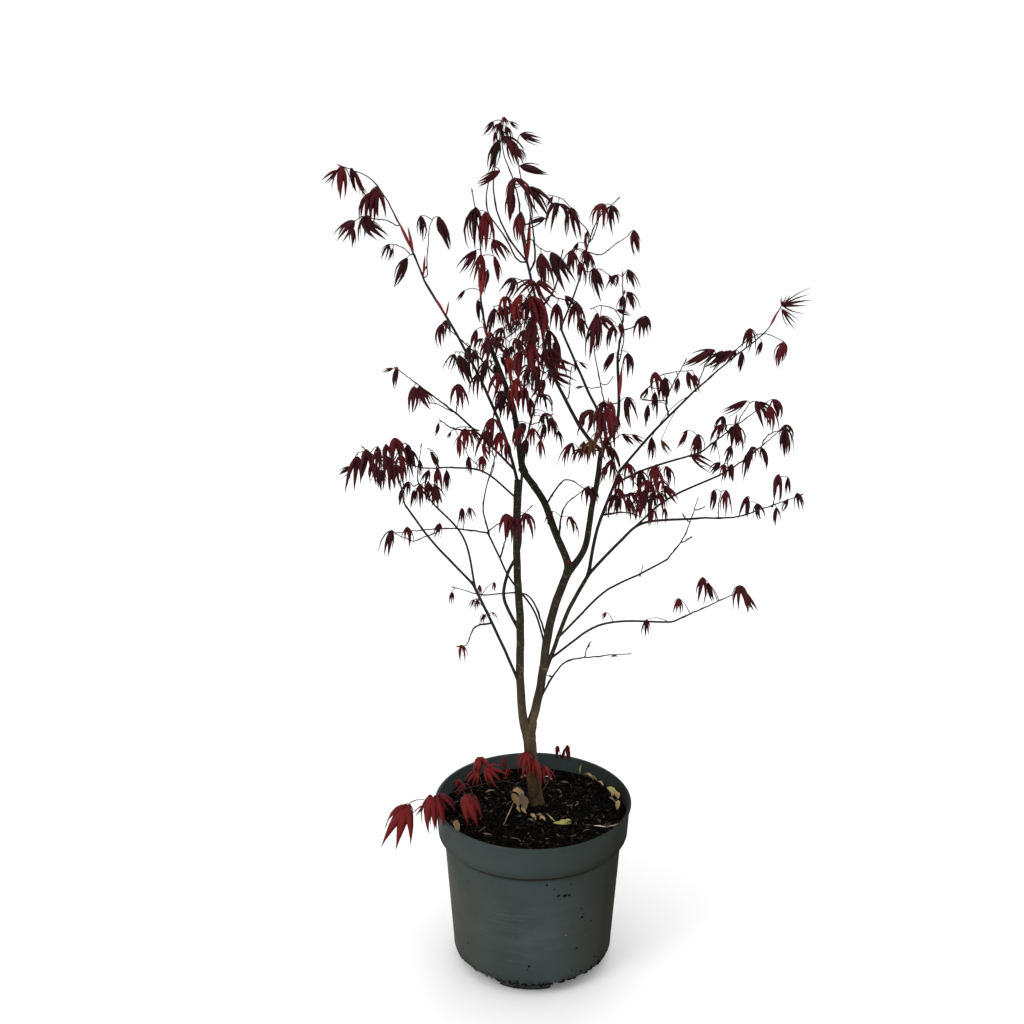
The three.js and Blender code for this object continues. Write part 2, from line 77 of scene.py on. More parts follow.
# Limbs, in millimetres: (name, parent, share of the parent's length where it leaves, points on its way
# and its tip, radius at its root, radius at its tip).
LIMBS = (
    ("trunk", None, 0, ((6, 22, 228.3), (-1, 17, 290), (-7, 12, 362)), 9.6, 8.6),
    ("left_stem", "trunk", 1, ((-17, 6, 413), (-20, -2, 520), (-23, -4, 626), (-22, 2, 722)), 6, 4.6),
    ("right_stem", "trunk", 1, ((9, 14, 401), (19, 18, 486), (30, 18, 540), (49, 12, 596)), 6.2, 5.6),
    ("loop_branch", "left_stem", 0.42,
     ((-38, 2, 556), (-34, 12, 585), (-20, 32, 616), (-20, 66, 660), (-10, 125, 741)), 2.4, 1.8),
    ("cross_limb", "right_stem", 1, ((27, 20, 646), (13, 24, 682), (-18, 32, 730)), 5, 4.6),
    ("left_leader", "cross_limb", 1, ((-20, 34, 761), (-28, 34, 809), (-61, 34, 903)), 4.4, 2.8),
    ("right_leader", "right_stem", 1, ((67, 5, 623), (77, -8, 700), (86, -18, 769)), 4.6, 3.3),
    ("inner_bough", "right_leader", 1, ((70, -24, 786), (40, -43, 838), (13, -58, 895)), 2.6, 2),
    ("top_leader", "inner_bough", 1, ((5, -55, 947), (-11, -45, 1017)), 1.9, 1.5),
    ("right_inner_bough", "right_leader", 1, ((106, -3, 800), (107, 18, 886)), 2.4, 1.8),
    ("back_inner_bough", "right_leader", 0.9, ((93, 14, 782), (68, 68, 838), (36, 110, 902)), 2.2, 1.6),
    ("outer_stem", "right_stem", 0.3, ((31, 24, 483), (49, 30, 525), (77, 38, 578)), 3.1, 2.7),
    ("upright_stem", "outer_stem", 1, ((86, 50, 635), (117, 64, 717)), 2.5, 2),
    ("upper_right_bough", "upright_stem", 1, ((155, 78, 759), (215, 96, 816)), 1.9, 1.5),
    ("upper_mid_right_bough", "upright_stem", 0.86, ((150, 56, 720), (221, 34, 750)), 1.6, 1.3),
    ("right_bough", "outer_stem", 1, ((116, 22, 628), (145, 10, 659), (219, -10, 673)), 2.3, 1.5),
    ("mid_right_bough", "right_bough", 0.52, ((178, -14, 702), (238, -40, 742)), 1.5, 1.3),
    ("low_right_back_bough", "outer_stem", 0.4, ((93, 58, 535), (190, 100, 574)), 1.7, 1.3),
    ("low_right_front_bough", "outer_stem", 0.22, ((89, -15, 523), (179, -75, 552)), 1.7, 1.3),
    ("low_left_bough", "left_stem", 0.2, ((-53, -14, 514), (-83, -26, 589)), 2.2, 1.9),
    ("left_outer_bough", "low_left_bough", 1, ((-124, -38, 638), (-167, -52, 705)), 1.7, 1.4),
    ("left_inner_bough", "low_left_bough", 0.93, ((-94, -6, 645), (-135, 8, 688)), 1.5, 1.3),
    ("crossing_twig", "right_stem", 0.5, ((-1, -17, 547), (-36, -40, 606), (-61, -65, 672)), 1.5, 1.3),
    ("level_left_twig", "left_stem", 0.93, ((-68, -22, 742), (-110, -35, 751)), 1.4, 1.2),
    ("far_left_bough", "left_stem", 1, ((-48, 26, 795), (-98, 70, 895), (-144, 95, 966)), 2.2, 1.6),
    ("left_mid_bough", "far_left_bough", 0.06, ((-62, -30, 783), (-100, -60, 830)), 1.7, 1.3),
)
OLD_WOOD = ("trunk", "left_stem", "right_stem", "cross_limb", "left_leader", "right_leader", "outer_stem")

# Masses of foliage, in millimetres: (name, limb, share of the limb's length, points on the stem's way and
# its tip, nodes, longest side twig, leaf size as a share of the usual one, seed, colour of its leaves).
MASSES = (
    ("left_outer_foliage", "left_outer_bough", 1, ((-178, -58, 750), (-214, -72, 786)),
     0, 44, 0.95, 3, "dark"),
    ("left_inner_foliage", "left_inner_bough", 1, ((-154, 14, 715), (-150, 20, 760)),
     0, 34, 0.85, 5, "dark"),
    ("level_left_foliage", "level_left_twig", 1, ((-140, -42, 752), (-176, -30, 756)),
     0, 30, 0.85, 8, "dark"),
    ("crossing_left_foliage", "crossing_twig", 1, ((-109, -82, 684), (-178, -102, 685)),
     0, 20, 0.72, 4, "dark"),
    ("crossing_top_foliage", "crossing_twig", 0.96, ((-66, -86, 716), (-50, -98, 786)),
     0, 24, 0.7, 6, "maroon"),
    ("stem_front_foliage", "crossing_twig", 0.8, ((-30, -84, 688), (-8, -92, 714)),
     0, 20, 0.85, 2, "maroon"),
    ("left_mid_foliage", "left_mid_bough", 1, ((-137, -84, 866), (-168, -98, 894)), 0, 26, 0.9, 9, "dark"),
    ("left_near_foliage", "left_mid_bough", 0.7, ((-100, -72, 812), (-116, -120, 836)),
     0, 30, 0.85, 14, "maroon"),
    ("far_left_foliage", "far_left_bough", 1, ((-172, 108, 1030), (-214, 120, 1098), (-252, 125, 1114)),
     0, 30, 0.85, 3, "maroon"),
    ("top_foliage", "top_leader", 1, ((-36, -42, 1050), (-52, -34, 1100), (-42, -28, 1180)),
     0, 30, 0.85, 7, "dark"),
    ("top_centre_foliage", "top_leader", 0.9, ((-2, -78, 1030), (-12, -84, 1110)), 0, 34, 1, 12, "maroon"),
    ("top_left_foliage", "left_leader", 1, ((-70, 46, 955), (-70, 58, 1020), (-80, 64, 1086)),
     0, 34, 1, 21, "dark"),
    ("leader_left_foliage", "left_leader", 0.66, ((-84, 80, 880), (-116, 118, 900)),
     1, 36, 0.95, 11, "dark"),
    ("leader_back_foliage", "left_leader", 0.42, ((-34, 100, 850), (-40, 160, 890)),
     3, 40, 0.95, 17, "maroon"),
    ("top_right_foliage", "back_inner_bough", 1, ((59, 130, 958), (84, 146, 1040), (110, 156, 1066)),
     0, 40, 0.9, 5, "dark"),
    ("middle_front_foliage", "inner_bough", 0.94, ((-6, -96, 930), (-12, -132, 985)),
     3, 40, 0.95, 6, "wine"),
    ("middle_back_foliage", "loop_branch", 1, ((6, 176, 790), (24, 224, 850)), 4, 44, 0.95, 10, "dark"),
    ("right_inner_foliage", "right_inner_bough", 1, ((113, 26, 930), (112, 32, 985)),
     2, 34, 0.9, 13, "dark"),
    ("right_leader_foliage", "right_leader", 0.95, ((88, -80, 800), (82, -134, 850)),
     2, 42, 0.95, 16, "maroon"),
    ("upright_front_foliage", "upright_stem", 0.72, ((138, 10, 702), (152, -60, 726)),
     2, 40, 0.95, 19, "maroon"),
    ("right_near_foliage", "upper_right_bough", 0.7, ((176, 52, 820), (196, 36, 872)),
     0, 34, 0.95, 20, "dark"),
    ("upper_right_foliage", "upper_right_bough", 1, ((261, 104, 856), (316, 113, 901), (334, 124, 930)),
     0, 30, 0.95, 22, "dark"),
    ("upper_mid_right_foliage", "upper_mid_right_bough", 1, ((252, 22, 780), (296, 4, 822)),
     1, 30, 0.95, 25, "maroon"),
    ("mid_right_foliage", "mid_right_bough", 1, ((270, -50, 768), (308, -58, 806)), 1, 28, 0.9, 26, "dark"),
    ("right_foliage", "right_bough", 1, ((264, -20, 678), (300, -30, 694), (341, -40, 714)),
     0, 18, 0.85, 28, "dark"),
    ("low_right_foliage", "low_right_front_bough", 1, ((218, -90, 578), (262, -102, 606)),
     0, 0, 0.75, 29, "dark"),
    ("bare_back_twigs", "low_right_back_bough", 1, ((213, 110, 604), (232, 118, 660)),
     3, 34, 0, 31, "dark"),
    ("bare_low_twigs", "right_stem", 0.17, ((43, -6, 463), (81, -30, 482), (128, -60, 500)),
     3, 34, 0, 2, "dark"),
    ("low_left_sprig", "low_left_bough", 0.62, ((-80, -44, 530), (-90, -54, 510), (-98, -60, 511)),
     0, 0, 0.72, 33, "maroon"),
)

# Finer twigs that the limbs also bear, in the same form.
FINE_TWIGS = (
    ("low_cross_twig", "right_stem", 0.55, ((-8, 42, 542), (-70, 30, 548), (-106, 10, 566)),
     0, 0, 0.62, 51, "dark"),
    ("fork_twig", "cross_limb", 0.3, ((40, -12, 690), (66, -34, 722)), 1, 0, 0.8, 52, "dark"),
    ("fork_side_twig", "cross_limb", 0.62, ((42, 22, 716), (70, 16, 704)), 1, 0, 0, 53, "dark"),
    ("outer_link_twig", "upright_stem", 0.55, ((124, 40, 664), (146, 30, 660)), 0, 0, 0, 54, "dark"),
    ("leader_side_twig", "left_leader", 0.45, ((-58, 44, 850), (-64, 52, 896)), 1, 20, 0.8, 55, "maroon"),
    ("top_side_twig", "top_leader", 0.5, ((22, -76, 990), (30, -92, 1034)), 0, 22, 0.85, 56, "dark"),
    ("low_left_twig", "low_left_bough", 0.66, ((-62, -40, 552), (-74, -52, 572)), 1, 0, 0.45, 57, "dark"),
)

# Twigs that hang on the limbs, the masses' stems or each other, in millimetres: (name, what bears it,
# radius at its root, points on its way and its tip).
TWIGS = (
    ("top_shoot", "top_leader", 1.2, ((-20, -44, 1017), (-38, -42, 1047), (-59, -40, 1077),
        (-61, -38, 1096),
        (-57, -35, 1115), (-50, -31, 1138), (-43, -28, 1161), (-40, -26, 1183))),
    ("second_top_shoot", "top_leader", 1.2, ((-15, -52, 1035), (-19, -58, 1064), (-22, -58, 1096),
        (-31, -50, 1124), (-39, -42, 1144), (-42, -36, 1164))),
    ("third_top_shoot", "second_top_shoot", 0.9, ((-19, -62, 1115), (-21, -64, 1133), (-25, -62, 1153))),
    ("top_hook_twig", "second_top_shoot", 0.7, ((-4, -50, 1066), (10, -44, 1070))),
    ("top_right_arch", "second_top_shoot", 0.8, ((-8, -50, 1046), (2, -40, 1035), (14, -30, 1027))),
    ("right_top_arch", "top_right_foliage", 0.8, ((76, 138, 1014), (72, 138, 1028), (60, 134, 1042),
        (47, 130, 1062), (35, 126, 1073), (18, 120, 1078))),
    ("right_top_twig", "top_right_foliage", 0.9, ((76, 140, 1015), (84, 142, 1034), (89, 146, 1051),
        (96, 150, 1061))),
    ("right_out_twig", "top_right_foliage", 0.9, ((89, 136, 997), (108, 146, 1008), (127, 156, 1019))),
    ("right_down_twig", "top_right_foliage", 0.7, ((72, 124, 976), (86, 110, 982), (99, 100, 976))),
    ("cluster_twig", "middle_front_foliage", 1, ((0, -110, 956), (-6, -127, 986), (-16, -143, 1010),
        (-27, -156, 1017))),
    ("cluster_right_twig", "middle_front_foliage", 0.9, ((5, -104, 969), (15, -108, 987), (28, -112, 984),
        (48, -100, 978))),
    ("cluster_left_twig", "middle_front_foliage", 0.8, ((-18, -96, 958), (-34, -92, 942), (-44, -96, 973),
        (-52, -98, 972))),
    ("right_inner_shoot", "right_inner_bough", 0.9, ((109, 20, 877), (114, 14, 910), (111, 10, 931),
        (99, 6, 949), (82, 0, 954), (69, -6, 951))),
    ("right_inner_side", "right_inner_bough", 1, ((91, -14, 830), (85, -20, 850), (79, -26, 877),
        (74, -30, 904), (75, -34, 945))),
    ("right_inner_stub", "right_inner_side", 0.7, ((91, -24, 858), (99, -26, 869))),
    ("inner_stub", "inner_bough", 0.9, ((41, -44, 845), (43, -48, 864), (45, -52, 887), (51, -56, 896))),
    ("inner_side_stub", "right_inner_side", 0.7, ((73, -20, 852), (61, -22, 855))),
    ("inner_front_twig", "inner_bough", 0.8, ((25, -60, 875), (17, -76, 894), (11, -84, 906))),
    ("left_arch", "far_left_bough", 0.8, ((-85, 60, 874), (-94, 44, 884), (-103, 34, 887))),
    ("left_low_arch", "left_mid_bough", 0.8, ((-71, -50, 804), (-85, -58, 811), (-97, -66, 813),
        (-105, -72, 810))),
    ("left_mid_up", "left_mid_bough", 0.8, ((-99, -62, 837), (-98, -64, 852), (-97, -66, 864))),
    ("left_mid_fork", "left_mid_bough", 0.8, ((-113, -64, 837), (-124, -68, 844), (-134, -72, 846))),
    ("left_cluster_a", "left_outer_foliage", 0.9, ((-183, -54, 758), (-175, -46, 775), (-168, -40, 784))),
    ("left_cluster_b", "left_outer_foliage", 0.9, ((-192, -66, 762), (-190, -84, 786), (-186, -94, 799))),
    ("left_cluster_c", "left_outer_foliage", 0.9, ((-202, -60, 771), (-213, -46, 775), (-227, -34, 771))),
    ("left_drop_twig", "level_left_foliage", 0.8, ((-127, -38, 751), (-124, -42, 763), (-130, -46, 775),
        (-137, -50, 781))),
    ("left_second_twig", "left_inner_foliage", 0.8, ((-159, 6, 712), (-166, -2, 721), (-174, -8, 714))),
    ("far_left_spear_twig", "far_left_foliage", 0.9, ((-142, 96, 975), (-142, 98, 993), (-140, 100, 1014),
        (-138, 100, 1038), (-133, 98, 1050))),
    ("far_left_curl", "far_left_foliage", 0.7, ((-163, 98, 1003), (-171, 92, 1012), (-181, 84, 1018),
        (-190, 78, 1020))),
    ("far_left_drop", "far_left_foliage", 0.8, ((-181, 108, 1040), (-194, 98, 1048), (-209, 90, 1051),
        (-224, 84, 1055), (-234, 78, 1049))),
    ("bow_twig", "crossing_left_foliage", 0.9, ((-121, -86, 683), (-141, -92, 676), (-154, -94, 671),
        (-165, -98, 677), (-177, -102, 684))),
    ("stem_front_twig", "crossing_twig", 0.9, ((-62, -64, 671), (-53, -74, 683), (-41, -82, 694),
        (-26, -88, 703))),
    ("crossing_high_twig", "crossing_top_foliage", 0.8, ((-54, -64, 756), (-52, -66, 773), (-57, -68, 784),
        (-67, -70, 791))),
    ("level_side_twig", "level_left_twig", 0.7, ((-74, -26, 750), (-86, -34, 766), (-91, -40, 784))),
    ("upright_near_twig", "upright_stem", 0.9, ((116, 52, 715), (106, 26, 734), (102, 12, 747))),
    ("upright_wide_twig", "upright_front_foliage", 0.9, ((148, -50, 728), (152, -66, 746),
        (154, -76, 760))),
    ("upright_far_twig", "upright_front_foliage", 0.7, ((160, -58, 725), (169, -66, 730))),
    ("arch_twig", "upper_right_foliage", 0.8, ((271, 104, 870), (287, 96, 889), (304, 90, 899),
        (322, 86, 895),
        (333, 84, 889))),
    ("rod_twig", "upper_right_foliage", 0.9, ((219, 96, 817), (224, 90, 838), (230, 84, 859),
        (237, 78, 873),
        (254, 70, 877))),
    ("low_rod_twig", "right_near_foliage", 0.9, ((141, 60, 818), (154, 56, 836), (166, 50, 851),
        (186, 44, 858),
        (207, 40, 861))),
    ("node_shoot", "right_leader", 0.9, ((106, -14, 795), (108, -12, 810), (107, -10, 828))),
    ("node_side", "right_leader_foliage", 0.7, ((101, -40, 789), (110, -56, 801), (119, -66, 803))),
    ("mid_up_twig", "upper_mid_right_foliage", 0.9, ((262, 18, 786), (270, 10, 808), (279, 4, 826))),
    ("mid_back_twig", "upper_mid_right_foliage", 0.8, ((240, 26, 767), (246, 34, 781), (250, 40, 796))),
    ("mid_side_twig", "upper_mid_right_bough", 0.8, ((208, 34, 744), (211, 24, 762), (215, 16, 778))),
    ("mid_out_twig", "mid_right_foliage", 0.9, ((288, -54, 788), (296, -58, 802), (311, -60, 808))),
    ("mid_low_twig", "mid_right_foliage", 0.8, ((248, -44, 749), (245, -54, 766), (248, -60, 784))),
    ("right_up_twig", "right_foliage", 0.8, ((309, -32, 695), (311, -44, 723), (313, -52, 745))),
    ("right_mid_twig", "right_foliage", 0.8, ((277, -22, 683), (281, -12, 693), (283, -6, 701))),
    ("right_pair_twig", "right_foliage", 0.8, ((242, -14, 676), (241, -20, 696), (243, -24, 714))),
    ("back_low_fork", "low_right_back_bough", 0.7, ((150, 82, 554), (153, 76, 574))),
)

# Leaves that hang from a limb, a stem or a twig: (neck in mm, hanging length in mm, lean to the right in
# degrees, opening in tenths of a radian, first letter of the colour).
LEAVES = {
    "top_shoot": ((-52, -26, 1183, 24, -38, 7, "d"), (-40, -22, 1188, 16, 10, 10, "d"),
        (-32, -30, 1183, 18, 55, 8, "d"), (-45, -20, 1161, 45, -14, 5, "d"),
        (-44, -30, 1125, 38, -66, 5, "d"),
        (-49, -34, 1172, 19, -20, 6, "m"), (-44, -26, 1182, 20, 0, 8, "d"),
        (-42, -24, 1173, 24, 4, 6, "d"), (-47, -24, 1180, 17, -10, 9, "d"),
        (-37, -26, 1177, 19, 22, 9, "d")),
    "second_top_shoot": ((-38, -40, 1167, 43, 40, 8, "d"), (-34, -48, 1164, 41, 18, 8, "m"),
        (-26, -66, 1121, 60, -3, 13, "m"), (-12, -50, 1109, 58, 28, 9, "m"),
        (-30, -60, 1107, 46, -4, 5, "m"),
        (-19, -52, 1079, 48, -6, 6, "w")),
    "third_top_shoot": ((-20, -58, 1134, 38, 78, 6, "d"), (-20, -52, 1170, 31, 72, 6, "d"),
        (-24, -66, 1155, 22, 30, 8, "d")),
    "top_hook_twig": ((11, -42, 1070, 34, -78, 5, "d"),),
    "top_right_arch": ((6, -40, 1027, 48, 4, 7, "d"), (19, -26, 1026, 54, 30, 7, "d")),
    "right_top_arch": ((31, 122, 1067, 60, -4, 15, "m"), (49, 134, 1060, 49, 9, 9, "d"),
        (24, 116, 1076, 19, -30, 5, "d"), (71, 140, 1028, 26, 2, 3, "d")),
    "right_top_twig": ((91, 144, 1064, 42, -6, 12, "m"), (104, 156, 1060, 42, 9, 12, "m")),
    "right_out_twig": ((135, 162, 1026, 45, 16, 7, "d"),),
    "right_down_twig": ((79, 118, 982, 46, 24, 9, "d"), (99, 98, 976, 24, 28, 4, "d")),
    "top_right_foliage": ((50, 126, 1005, 38, -4, 8, "w"), (70, 140, 1001, 34, 10, 9, "m"),
        (61, 120, 990, 36, 2, 7, "w"),
        (52, 140, 1003, 38, -6, 7, "d"), (68, 132, 1004, 43, 2, 8, "m"),
        (59, 148, 1011, 19, -20, 5, "d"), (58, 124, 935, 45, -4, 9, "m"), (62, 112, 916, 35, 6, 7, "d")),
    "top_left_foliage": ((-76, 60, 1070, 60, -6, 8, "m"), (-63, 54, 1065, 58, 2, 7, "m"),
        (-54, 50, 1030, 43, 38, 9, "m"), (-76, 60, 1015, 38, -34, 5, "m"), (-69, 48, 1012, 43, -4, 6, "w"),
        (-52, 58, 1007, 37, 4, 4, "d"), (-91, 54, 964, 19, -28, 3, "m"), (-74, 56, 951, 41, 6, 6, "d"),
        (-76, 40, 915, 31, -18, 6, "m"), (-61, 64, 989, 41, -10, 5, "m")),
    "cluster_twig": ((-28, -156, 1017, 36, -32, 13, "d"), (-3, -130, 1009, 43, -42, 12, "m"),
        (-26, -120, 980, 37, -6, 8, "d"), (-11, -134, 987, 50, -4, 11, "m")),
    "middle_front_foliage": ((1, -130, 1009, 45, 52, 12, "m"), (5, -120, 977, 50, 3, 11, "w"),
        (-4, -128, 960, 44, -2, 10, "m"), (14, -104, 945, 40, 4, 8, "d"), (-15, -112, 947, 34, -14, 8, "w"),
        (-8, -100, 926, 37, 2, 7, "m"), (9, -96, 919, 37, 8, 8, "m")),
    "cluster_right_twig": ((24, -112, 979, 43, -2, 8, "w"), (48, -98, 977, 40, -2, 9, "m"),
        (34, -106, 987, 31, 40, 7, "d")),
    "cluster_left_twig": ((-51, -100, 971, 40, -4, 9, "d"), (-36, -92, 972, 36, 10, 10, "d"),
        (-44, -86, 971, 31, 4, 6, "m")),
    "right_inner_shoot": ((77, -30, 951, 54, 0, 4, "m"), (83, 0, 941, 38, 42, 8, "m"),
        (108, 8, 930, 26, 10, 8, "m"), (104, 10, 947, 23, 68, 5, "d"), (102, 22, 888, 34, -30, 7, "d"),
        (120, 14, 890, 38, -2, 10, "d")),
    "right_inner_side": ((76, -34, 950, 62, 3, 5, "m"), (70, -36, 931, 37, -4, 5, "d")),
    "inner_stub": ((54, -58, 895, 16, 50, 4, "d"), (50, -50, 892, 14, -10, 4, "d")),
    "inner_side_stub": ((61, -22, 855, 13, -70, 3, "d"),),
    "inner_front_twig": ((12, -86, 904, 43, 62, 9, "m"), (21, -80, 885, 37, 66, 6, "m"),
        (11, -74, 876, 34, -30, 7, "m"), (3, -90, 897, 40, -6, 6, "d")),
    "left_leader": ((-19, 0, 796, 38, -2, 10, "m"), (-3, 4, 793, 38, 6, 10, "w"),
        (-12, -6, 780, 32, 2, 9, "m"),
        (-35, 20, 885, 52, 10, 6, "r"), (-24, 16, 856, 51, 6, 9, "w"),
        (-14, 22, 844, 45, -2, 7, "m"), (-47, 24, 862, 43, -8, 8, "m"), (-61, 28, 904, 43, -10, 9, "m"),
        (-50, 16, 905, 26, 50, 6, "d"), (-6, 26, 827, 37, 4, 6, "m"), (-30, 14, 830, 40, -6, 7, "m")),
    "leader_left_foliage": ((-78, 80, 879, 48, -4, 10, "m"), (-75, 70, 849, 40, 0, 9, "m"),
        (-86, 96, 882, 34, -12, 6, "d")),
    "left_arch": ((-104, 34, 884, 31, -10, 10, "d"), (-99, 40, 881, 48, 14, 8, "d")),
    "left_mid_up": ((-97, -66, 869, 42, 0, 11, "m"),),
    "left_near_foliage": ((-119, -116, 832, 20, -20, 4, "d"), (-96, -84, 806, 34, 2, 7, "m")),
    "left_mid_foliage": ((-150, -86, 871, 44, -2, 9, "m"), (-170, -96, 898, 34, -4, 4, "d"),
        (-174, -100, 897, 17, -66, 4, "d"), (-145, -84, 870, 40, 26, 6, "d")),
    "left_low_arch": ((-88, -60, 810, 40, -2, 9, "m"), (-106, -72, 809, 14, -26, 4, "d"),
        (-81, -54, 806, 26, 34, 5, "d")),
    "left_mid_bough": ((-55, -24, 814, 45, -2, 11, "w"), (-62, -34, 800, 42, -8, 9, "m"),
        (-45, -14, 792, 42, 4, 11, "w"), (-36, -8, 777, 34, 2, 7, "m")),
    "level_side_twig": ((-86, -36, 765, 26, 4, 4, "d"), (-68, -24, 763, 28, 0, 8, "w")),
    "level_left_foliage": ((-148, -42, 763, 28, 2, 4, "d"), (-125, -36, 750, 36, -2, 6, "m"),
        (-114, -32, 746, 31, 2, 5, "d"), (-136, -46, 751, 28, -8, 6, "d")),
    "left_drop_twig": ((-133, -50, 776, 28, 28, 4, "d"), (-128, -40, 727, 34, 8, 6, "m")),
    "left_cluster_a": ((-180, -40, 792, 48, -2, 9, "m"), (-163, -36, 782, 40, 10, 8, "m"),
        (-172, -50, 772, 46, 4, 9, "m"), (-160, -30, 773, 37, 14, 7, "d")),
    "left_cluster_b": ((-186, -96, 800, 42, -4, 6, "d"), (-197, -90, 788, 44, -4, 9, "m"),
        (-185, -86, 781, 50, 0, 9, "m"), (-176, -70, 766, 38, 6, 8, "m")),
    "left_cluster_c": ((-216, -40, 777, 51, -4, 9, "m"), (-229, -32, 765, 51, -8, 9, "d"),
        (-208, -52, 763, 40, 2, 8, "m"), (-236, -30, 751, 26, -52, 5, "d")),
    "left_outer_foliage": ((-195, -62, 756, 34, -2, 7, "d"), (-185, -56, 754, 31, 6, 7, "d"),
        (-198, -72, 790, 34, -4, 8, "m")),
    "left_second_twig": ((-166, -4, 721, 31, -4, 9, "d"), (-174, -10, 713, 28, -10, 7, "d")),
    "left_inner_foliage": ((-152, 14, 713, 37, 2, 9, "w"), (-141, 20, 714, 40, 4, 8, "m"),
        (-159, 8, 706, 28, -6, 7, "d"), (-133, 12, 713, 34, 16, 5, "d")),
    "far_left_foliage": ((-253, 126, 1115, 45, -3, 9, "m"), (-258, 122, 1110, 28, -44, 5, "d"),
        (-240, 120, 1113, 44, 3, 4, "m"), (-235, 118, 1108, 44, 22, 2, "m"),
        (-216, 112, 1082, 56, -4, 11, "d"),
        (-206, 108, 1090, 54, 0, 9, "d"), (-168, 98, 999, 49, -24, 6, "m")),
    "far_left_drop": ((-234, 80, 1050, 43, -38, 9, "m"), (-225, 88, 1050, 43, 50, 8, "d"),
        (-219, 92, 1056, 43, -10, 11, "d"), (-237, 74, 1045, 35, -4, 6, "m")),
    "far_left_curl": ((-190, 78, 1020, 26, -30, 8, "d"), (-185, 82, 1014, 19, -20, 4, "d")),
    "far_left_spear_twig": ((-149, 98, 1054, 38, -2, 8, "d"), (-126, 96, 1053, 49, 18, 5, "d")),
    "bow_twig": ((-181, -102, 689, 38, -6, 8, "d"), (-162, -98, 692, 31, -6, 8, "m"),
        (-121, -84, 692, 26, -24, 7, "m")),
    "crossing_left_foliage": ((-93, -80, 711, 26, -8, 8, "d"), (-84, -78, 711, 23, 18, 7, "m")),
    "stem_front_twig": ((-37, -88, 706, 44, -6, 12, "w"), (-13, -92, 708, 42, 6, 12, "w"),
        (-25, -90, 702, 38, 0, 12, "m")),
    "crossing_high_twig": ((-67, -70, 792, 28, 22, 4, "m"),),
    "upright_near_twig": ((102, 12, 747, 38, -4, 9, "m"), (112, 24, 704, 40, -2, 9, "m"),
        (95, 16, 737, 28, -18, 7, "m")),
    "upright_front_foliage": ((122, -10, 749, 38, 2, 9, "w"), (112, 0, 731, 40, 0, 9, "m"),
        (136, -30, 746, 40, 2, 8, "m"), (145, -44, 737, 48, -2, 10, "w"), (151, -46, 699, 31, -4, 9, "m"),
        (134, -36, 701, 28, 0, 8, "m")),
    "upright_wide_twig": ((152, -76, 761, 45, 4, 9, "m"), (164, -66, 736, 31, 38, 9, "m")),
    "upright_far_twig": ((166, -66, 706, 26, 4, 6, "w"),),
    "node_shoot": ((119, -14, 839, 47, 2, 9, "m"), (106, -10, 812, 20, 10, 4, "m")),
    "node_side": ((110, -56, 801, 26, 46, 4, "d"), (121, -68, 804, 23, 60, 4, "d")),
    "right_leader_foliage": ((69, -90, 842, 43, -10, 12, "w"), (83, -110, 845, 48, 4, 12, "m"),
        (59, -70, 834, 26, 0, 7, "d"), (75, -100, 816, 37, -4, 10, "o"), (87, -90, 806, 37, 4, 9, "m"),
        (61, -60, 793, 26, -6, 7, "o"), (70, -84, 802, 34, -4, 9, "o"), (95, -96, 824, 34, 4, 8, "m")),
    "right_near_foliage": ((152, 62, 808, 33, -2, 4, "d"), (151, 58, 833, 25, -22, 4, "d")),
    "low_rod_twig": ((159, 52, 856, 44, 8, 9, "m"), (172, 46, 850, 43, 10, 7, "d"),
        (189, 42, 850, 28, -6, 5, "d"), (201, 40, 859, 33, 12, 6, "m"), (209, 38, 856, 30, 20, 5, "d"),
        (160, 50, 829, 37, -4, 5, "m")),
    "rod_twig": ((240, 76, 880, 52, -64, 5, "m"), (262, 70, 880, 45, -56, 5, "d"),
        (250, 72, 880, 39, -34, 6, "d")),
    "upper_right_foliage": ((290, 106, 903, 39, -10, 9, "m"), (306, 100, 886, 25, -6, 7, "d"),
        (280, 98, 872, 30, -4, 6, "d"), (273, 108, 873, 28, -30, 7, "d"),
        (335, 126, 930, 54, 88, 1, "m", 0.75, 1),
        (334, 122, 930, 22, 165, 2, "m", 0.7), (334, 120, 926, 34, 48, 1, "m", 0.7),
        (160, 78, 759, 40, -6, 4, "d"), (172, 70, 757, 25, 34, 4, "o")),
    "arch_twig": ((333, 84, 889, 43, -4, 11, "m"),),
    "mid_side_twig": ((215, 16, 781, 37, -2, 8, "m"), (201, 20, 785, 30, -36, 6, "d"),
        (208, 28, 749, 40, 58, 9, "m")),
    "mid_back_twig": ((250, 40, 799, 37, -6, 10, "d"), (241, 30, 769, 25, -10, 5, "d")),
    "upper_mid_right_foliage": ((265, 16, 796, 40, -2, 8, "d"), (242, -10, 750, 25, -24, 8, "d")),
    "mid_up_twig": ((275, 4, 829, 43, -62, 4, "d"), (286, 2, 829, 46, 10, 8, "m"),
        (289, 0, 829, 28, 56, 4, "d")),
    "mid_out_twig": ((313, -60, 809, 44, 2, 7, "d"),),
    "mid_low_twig": ((247, -60, 787, 30, -16, 8, "d"), (241, -50, 760, 28, -10, 8, "d"),
        (252, -44, 758, 28, 4, 6, "m")),
    "right_pair_twig": ((234, -24, 717, 33, -6, 6, "d"), (249, -26, 717, 37, 4, 7, "m")),
    "right_mid_twig": ((280, -6, 702, 33, -8, 6, "d"), (292, -14, 695, 33, 6, 8, "d")),
    "right_up_twig": ((311, -52, 747, 40, -10, 7, "m"), (324, -48, 742, 30, 6, 4, "d")),
    "right_foliage": ((339, -40, 718, 30, 12, 8, "d"), (315, -30, 695, 30, 8, 7, "d"),
        (328, -38, 709, 25, -14, 5, "d")),
